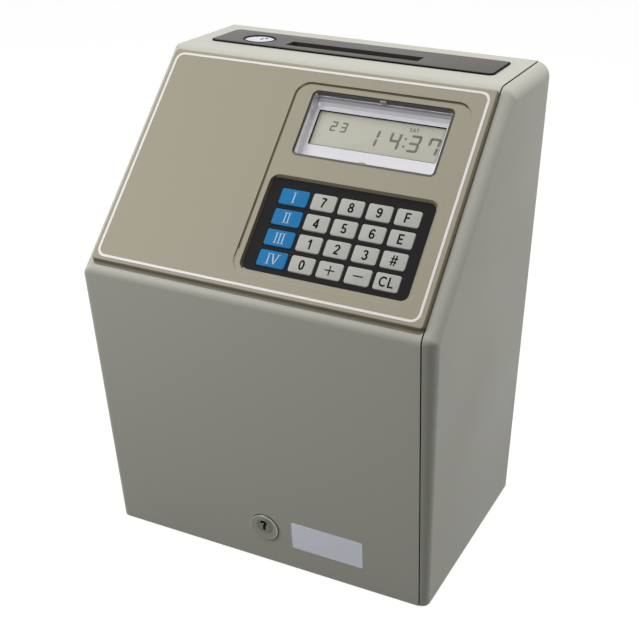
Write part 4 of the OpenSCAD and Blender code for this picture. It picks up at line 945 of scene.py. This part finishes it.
def on_board(fx0, fx1, fy0, fy1):
    """Rectangle given as shares of the board."""
    return BX + fx0 * BW, BX + fx1 * BW, BY + fy0 * BD, BY + fy1 * BD


posts = [(x, y) for y in (BY + POST_IN, BY + BD - POST_IN) for x in (BX + POST_IN, BX + BW - POST_IN)]
post_bores = merge(*[moved(rod(SCREW_BORE_R, -2, 4, 0, 20), shift(x, y, B_Z)) for x, y in posts])
inside("board_sheet", slab((BX, BX + BW, BY, BY + BD), B_Z, B_TOP, 1.0), BOARD, cuts=[post_bores],
       node="main_board")
chips, pins, plugs = [], [], []
chip_rects = [on_board(0.14 + 0.24 * i, 0.32 + 0.24 * i, 0.19, 0.29) for i in range(3)]
for rect in chip_rects + [on_board(1 / 6, 0.5, 0.45, 0.58), on_board(0.6, 0.75, 0.41, 0.58)]:
    chips.append(pillow(inset(rect, 0.9), B_TOP + 0.4, B_TOP + CHIP_H, 0.4, 0.3))
    count = int((rect[1] - rect[0]) / PIN_PX)
    for i in range(count):
        x = middle(rect)[0] + (i - (count - 1) / 2) * PIN_PX
        for y0, y1 in ((rect[2], rect[2] + 1.2), (rect[3] - 1.2, rect[3])):
            pins.append(slab((x - 0.4, x + 0.4, y0, y1), B_TOP, B_TOP + PIN_H, 0.1))
for i in range(4):
    rect = on_board(0.12 + 0.2 * i, 0.27 + 0.2 * i, 0.925, 0.98)
    plugs.append(border(rect, 0.5, inset(rect, 0.9), 0.3, B_TOP, B_TOP + PLUG_H))
    plugs.append(slab(inset(rect, 0.8), B_TOP, B_TOP + 2, 0.3))
    for k in range(6):
        x, y = rect[0] + 2.2 + PIN_PX * k, middle(rect)[1]
        pins.append(slab((x - 0.32, x + 0.32, y - 0.32, y + 0.32), B_TOP + PIN_H, B_TOP + 7, 0.1))
cans = [shift(BX + 0.9 * BW, BY + (0.23 + 0.13 * i) * BD, B_TOP) for i in range(3)]
can = lathe([
    (0, 0), (4.7, 0), (CAN_R, 0.5), (CAN_R, 1.4), (4.6, 1.9), (CAN_R, 2.4), (CAN_R, CAN_H - 0.7),
    (4.6, CAN_H - 0.2), (4.1, CAN_H - 0.2), (4.1, CAN_H - 0.5), (0, CAN_H - 0.5)], 40)
can_top = rod(4.05, CAN_H - 0.6, CAN_H - 0.1, 0.15)
buzzer = lathe([(0, 0), (6.8, 0), (7, 0.3), (7, 8.2), (6.4, 8.9), (1.4, 8.9), (1.4, 6), (0, 6)], 40)
power = on_board(1 / 3, 0.77, 0.7, 0.85)
inside("board_chips", merge(*chips), CHIP, MECH)
inside("board_pins", merge(*pins), TIN, TURNED)
inside("board_plugs", merge(*plugs), CREAM)
inside("board_cans", merge(*[moved(can, m) for m in cans]), SLEEVE, KNOB)
inside("can_tops", merge(*[moved(can_top, m) for m in cans]), TIN, TURNED)
inside("buzzer", moved(buzzer, shift(BX + BW / 5, BY + 0.775 * BD, B_TOP)), CHIP, MECH)
inside("power_block", slab(power, B_TOP, B_TOP + CAN_H, 1.2, 0.8), MOTOR)

# Transformer: plate stack, taped coil and strap
CORE_X, CORE_Y, FLOOR_Z, STRAP_T, CORE_H, STRAP_DX = 72.0, Y_REAR - 38, 4.5, 2.4, 46.0, 28


def round_core(dx, dy):
    return CORE_X - dx, CORE_X + dx, CORE_Y - dy, CORE_Y + dy


coil_z, strap_z = FLOOR_Z + (CORE_H + STRAP_T) / 2, FLOOR_Z + STRAP_T
strap_xs = (CORE_X - STRAP_DX, CORE_X + STRAP_DX)
strap_bores = merge(*[moved(rod(SCREW_BORE_R, -2, 6, 0, 20), shift(x, CORE_Y, FLOOR_Z)) for x in strap_xs])
inside("transformer_core", slab(round_core(24, 12), strap_z, FLOOR_Z + CORE_H, 0.6, 0.5), CORE, MOTOR,
       node="transformer")
coil = pillow(round_core(14, 20), coil_z - 15, coil_z + 15, 4, 2.5, seg=4)
inside("transformer_coil", coil, TAPE, MOTOR)
inside("transformer_strap", slab(round_core(32, 12), FLOOR_Z, strap_z, 2, 0.4), SHEET, cuts=[strap_bores])

# Card feed: feed shaft with gear and rubber rollers, pinch rollers
FRAME_X, FEED_Z, FEED_R, PINCH_R, ROLLER_X, ROLLER_L, CARD_T = 71.0, 125.0, 9.0, 6.0, 22.0, 16.0, 0.2
FEED_Y, PINCH_Y = CARD_Y + CARD_T + FEED_R, CARD_Y - CARD_T - PINCH_R
GEAR_X0, GEAR_X1, GEAR_N, PINION_N, PINION_DY = -81.5, -76.5, 48, 16, 11.3
PINION_DZ = sqrt(((GEAR_N + PINION_N) / 2) ** 2 - PINION_DY ** 2)
MESH_A = degrees(atan2(-PINION_DZ, PINION_DY))


def gear_outline(n, a):
    """Teeth of module 1 with straight flanks, one tooth at angle a."""
    root, tip = n / 2 - 1.1, n / 2 + 0.75
    pts = []
    for i in range(n):
        for f, r in ((-0.3, root), (-0.115, tip), (0.115, tip), (0.3, root)):
            t = rad(a + 360 / n * (i + f))
            pts.append((r * cos(t), r * sin(t)))
    return pts


def roller(r, hub_r):
    """Rubber sleeve with rounded rims."""
    half = ROLLER_L / 2
    return lathe([
        (hub_r, -half), (r - 0.6, -half), (r - 0.15, -half + 0.2), (r, -half + 0.7), (r, half - 0.7),
        (r - 0.15, half - 0.2), (r - 0.6, half), (hub_r, half), (hub_r, -half)], 48)


feed_at, pinch_at = shift(0, FEED_Y, FEED_Z) @ ALONG_X, shift(0, PINCH_Y, FEED_Z) @ ALONG_X
teeth = gear_outline(GEAR_N, MESH_A + 180 / GEAR_N)
dish_low, dish_high = GEAR_X0 - 1, GEAR_X0 + 1.4
rod_x0, rod_x1 = SLOT_X - FRAME_X - 4, SLOT_X + FRAME_X + 4
dish = lathe([(8, dish_low), (19, dish_low), (18.5, dish_high), (8.5, dish_high), (8, dish_low)], 48)
piece("feed_rod", rod(3, GEAR_X0 - 1.5, rod_x1), "feed_body", TURNED, feed_at, node="feed_shaft")
piece("feed_gear", prism(teeth, GEAR_X0, GEAR_X1), "feed_body", CREAM, feed_at, cuts=[dish])
piece("pinch_rod", rod(2, rod_x0, rod_x1), "pinch_body", TURNED, pinch_at, node="pinch_rollers")
for name, at, r, hub_r in (("feed", feed_at, FEED_R, 2.9), ("pinch", pinch_at, PINCH_R, 1.9)):
    sleeves = [moved(roller(r, hub_r), shift(0, 0, SLOT_X + s * ROLLER_X)) for s in (-1, 1)]
    piece(name + "_sleeves", merge(*sleeves), name + "_body", RUBBER, at)


# Motors: drawn can with a pressed groove, bright collar round the shaft hole
def motor(r, length, collar_r, collar, bore_r, bore_l):
    return lathe([
        (0, -length), (r - 0.8, -length), (r, -length + 0.8), (r, -length * 0.62), (r - 0.5, -length * 0.58),
        (r - 0.5, -length * 0.5), (r, -length * 0.46), (r, -0.6), (r - 0.6, 0), (collar_r, 0),
        (collar_r, collar - 0.3), (collar_r - 0.3, collar), (bore_r, collar), (bore_r, -bore_l),
        (0, -bore_l)], 56)


PLATE_Z, PULLEY_X, PULLEY_Y = 140.0, SLOT_X + 50, CARD_Y - 30
turned_left = shift(SLOT_X - FRAME_X, FEED_Y + PINION_DY, FEED_Z - PINION_DZ) @ ALONG_X @ UPSIDE_DOWN
inside("carriage_motor_can", motor(17.5, 22, 5.8, 1.5, 2.55, 13), MOTOR,
       m=shift(PULLEY_X, PULLEY_Y, PLATE_Z), node="carriage_motor")
inside("feed_motor_can", motor(15, 26, 4.8, 1.5, 2.05, 12), MOTOR, m=turned_left, node="feed_motor")

# Ribbon cassette: case, lid, arms and the ribbon between them
CAS_Z0, CAS_Z1, PRINT_Z, LID_T, ARM_DX = 204.0, 218.0, 190.0, 1.65, 52
cas = (SLOT_X - FRAME_X + 8, SLOT_X + FRAME_X - 8, CARD_Y - 58, CARD_Y - 12)
knob_bore = moved(rod(3.05, CAS_Z1 - 8, CAS_Z1 + 2, 0), shift(SLOT_X - 35, CARD_Y - 40, 0))
ribbon = (SLOT_X - 49, SLOT_X + 49, CARD_Y - 5.2, CARD_Y - 5.2 + 0.2)
arms = []
for s in (-1, 1):
    arm = (SLOT_X + s * ARM_DX - 4, SLOT_X + s * ARM_DX + 4, CARD_Y - 13, CARD_Y - 4.6)
    arms.append(slab(arm, PRINT_Z - 7, CAS_Z1 - 1.6, 1.0, 0.5))
inside("cassette_case", slab(cas, CAS_Z0, CAS_Z1 - 1.7, 5), MECH, cuts=[knob_bore], plus=arms,
       node="ribbon_cassette")
inside("cassette_lid", slab(inset(cas, 0.35), CAS_Z1 - LID_T, CAS_Z1, 4.7, 0.7), MECH, cuts=[knob_bore])
inside("ribbon", slab(ribbon, PRINT_Z - 5.5, PRINT_Z + 5.5, 0.05, n=1), RIBBON, MECH)


# Screws with cross recesses, each frame has the head below its origin and the shank upward
def screws(name, node, body, places):
    t, l = 0.35, 1.7
    half = [(t, t), (t, l), (-t, l), (-t, t), (-l, t), (-l, -t)]
    cross = half + [(-x, -y) for x, y in half]
    shapes, recesses = [], []
    for m, length in places:
        screw = lathe([
            (0, -2), (1.4, -2), (2.3, -1.75), (2.8, -1.25), (3, -0.6), (3, 0), (1.2, 0),
            (1.2, length - 0.4), (0.8, length), (0, length)], 28)
        shapes.append(moved(screw, m))
        recesses.append(moved(prism(cross, -3, -1.1), m))
    piece(name, merge(*shapes), body, TURNED, cuts=[merge(*recesses)], node=node)


SEAT, BACK_Y, BACK_T, BACK_XS, BACK_H = 0.05, Y_REAR + 4, 2.1, (-80, 0, 80), 8
hood_places = [(ON_SLOPE @ shift(x, u, -WALL - SEAT), WALL + 1) for x in PANEL_XS for u in PANEL_US]
hood_places += [(m @ shift(0, 0, WEB_X - SEAT), 10) for m in cover_places()]
screws("cover_screws", "hood_screws", "hood", hood_places)
chassis_places = [(shift(x, y, B_TOP + SEAT) @ UPSIDE_DOWN, 7) for x, y in posts]
chassis_places += [(shift(x, BACK_Y - BACK_T - SEAT, Z_BOT + BACK_H) @ tilt(90), 4) for x in BACK_XS]
chassis_places += [(shift(x, CORE_Y, strap_z + SEAT) @ UPSIDE_DOWN, 2.3) for x in strap_xs]
screws("body_screws", "chassis_screws", "chassis", chassis_places)


# Floor and studio light
def seen_directly(new, link):
    """1 for rays from the camera, a mirror or clear plastic, else 0."""
    path = new("LightPath")
    value = path.outputs["Is Camera Ray"]
    for key in ("Is Glossy Ray", "Is Transmission Ray"):
        either = new("Math")
        either.operation = "MAXIMUM"
        link(value, either)
        link(path.outputs[key], either, 1)
        value = either
    return value


FLOOR_HALF, FLOOR_GREY, FLOOR_GLOW, SOFT_LIGHT = 6, 0.14, 0.95, 0.2
floor_mesh = bpy.data.meshes.new("floor")
corners = [(x * FLOOR_HALF, y * FLOOR_HALF, 0) for x, y in ((-1, -1), (1, -1), (1, 1), (-1, 1))]
floor_mesh.from_pydata(corners, [], [(0, 1, 2, 3)])
floor = add_object("floor", floor_mesh)
ground = bpy.data.materials.new("floor_white")
new, link = node_makers(ground)
out, add, diffuse, glow, gain = new("OutputMaterial", "AddShader", "BsdfDiffuse", "Emission", "Math")
put(diffuse, Color=(FLOOR_GREY, FLOOR_GREY, FLOOR_GREY, 1))
gain.operation = "MULTIPLY"
gain.inputs[1].default_value = FLOOR_GLOW
link(seen_directly(new, link), gain)
link(gain, glow, "Strength")
link(diffuse, add)
link(glow, add, 1)
link(add, out)
floor_mesh.materials.append(ground)

world = bpy.data.worlds.new("studio")
scene.world = world
new, link = node_makers(world)
out, mix, soft, white = new("OutputWorld", "MixShader", "Background", "Background")
put(soft, Color=(1, 1, 1, 1), Strength=SOFT_LIGHT)
put(white, Color=(1, 1, 1, 1), Strength=1.0)
link(seen_directly(new, link), mix)
link(soft, mix, 1)
link(white, mix, 2)
link(mix, out)

# Lamps: place and aim in metres, size in metres, power in watts
LAMPS = {"overhead": ((-0.04, 0.18, 1.45), (0, 0.03, 0.3), 0.9, 8.5),
         "key": ((-0.37, -0.52, 0.6), (0, -0.06, 0.15), 0.45, 2.52),
         "side": ((0.7, 0.42, 0.66), (0.1, -0.02, 0.18), 0.45, 2.25)}
for name, (place, aim, size, power) in LAMPS.items():
    data = bpy.data.lights.new(name, "AREA")
    data.shape, data.size, data.energy = "SQUARE", size, power
    lamp = add_object(name, data)
    lamp.location = place
    lamp.rotation_mode = "QUATERNION"
    lamp.rotation_quaternion = (Vector(aim) - Vector(place)).to_track_quat("-Z", "Y")

# Camera at the photograph's angle
AZIMUTH, ELEVATION, ROLL, CAM_AT = 24.73, 25.14, -1.42, (0.2838, -0.6115, 0.4628)
cam_data = bpy.data.cameras.new("camera")
scene.camera = cam = add_object("camera", cam_data)
cam_data.lens, cam_data.sensor_width = 65.62, 36.0
cam_data.clip_start, cam_data.clip_end = 0.01, 30
az, el, roll = rad(AZIMUTH), rad(ELEVATION), rad(ROLL)
back = Vector((sin(az) * cos(el), -cos(az) * cos(el), sin(el)))
right = Vector((cos(az), sin(az), 0))
up = back.cross(right)
right, up = cos(roll) * right - sin(roll) * up, sin(roll) * right + cos(roll) * up
pose = Matrix((right, up, back)).transposed().to_4x4()
pose.translation = Vector(CAM_AT)
cam.matrix_world = pose

scene.view_settings.view_transform = "Standard"
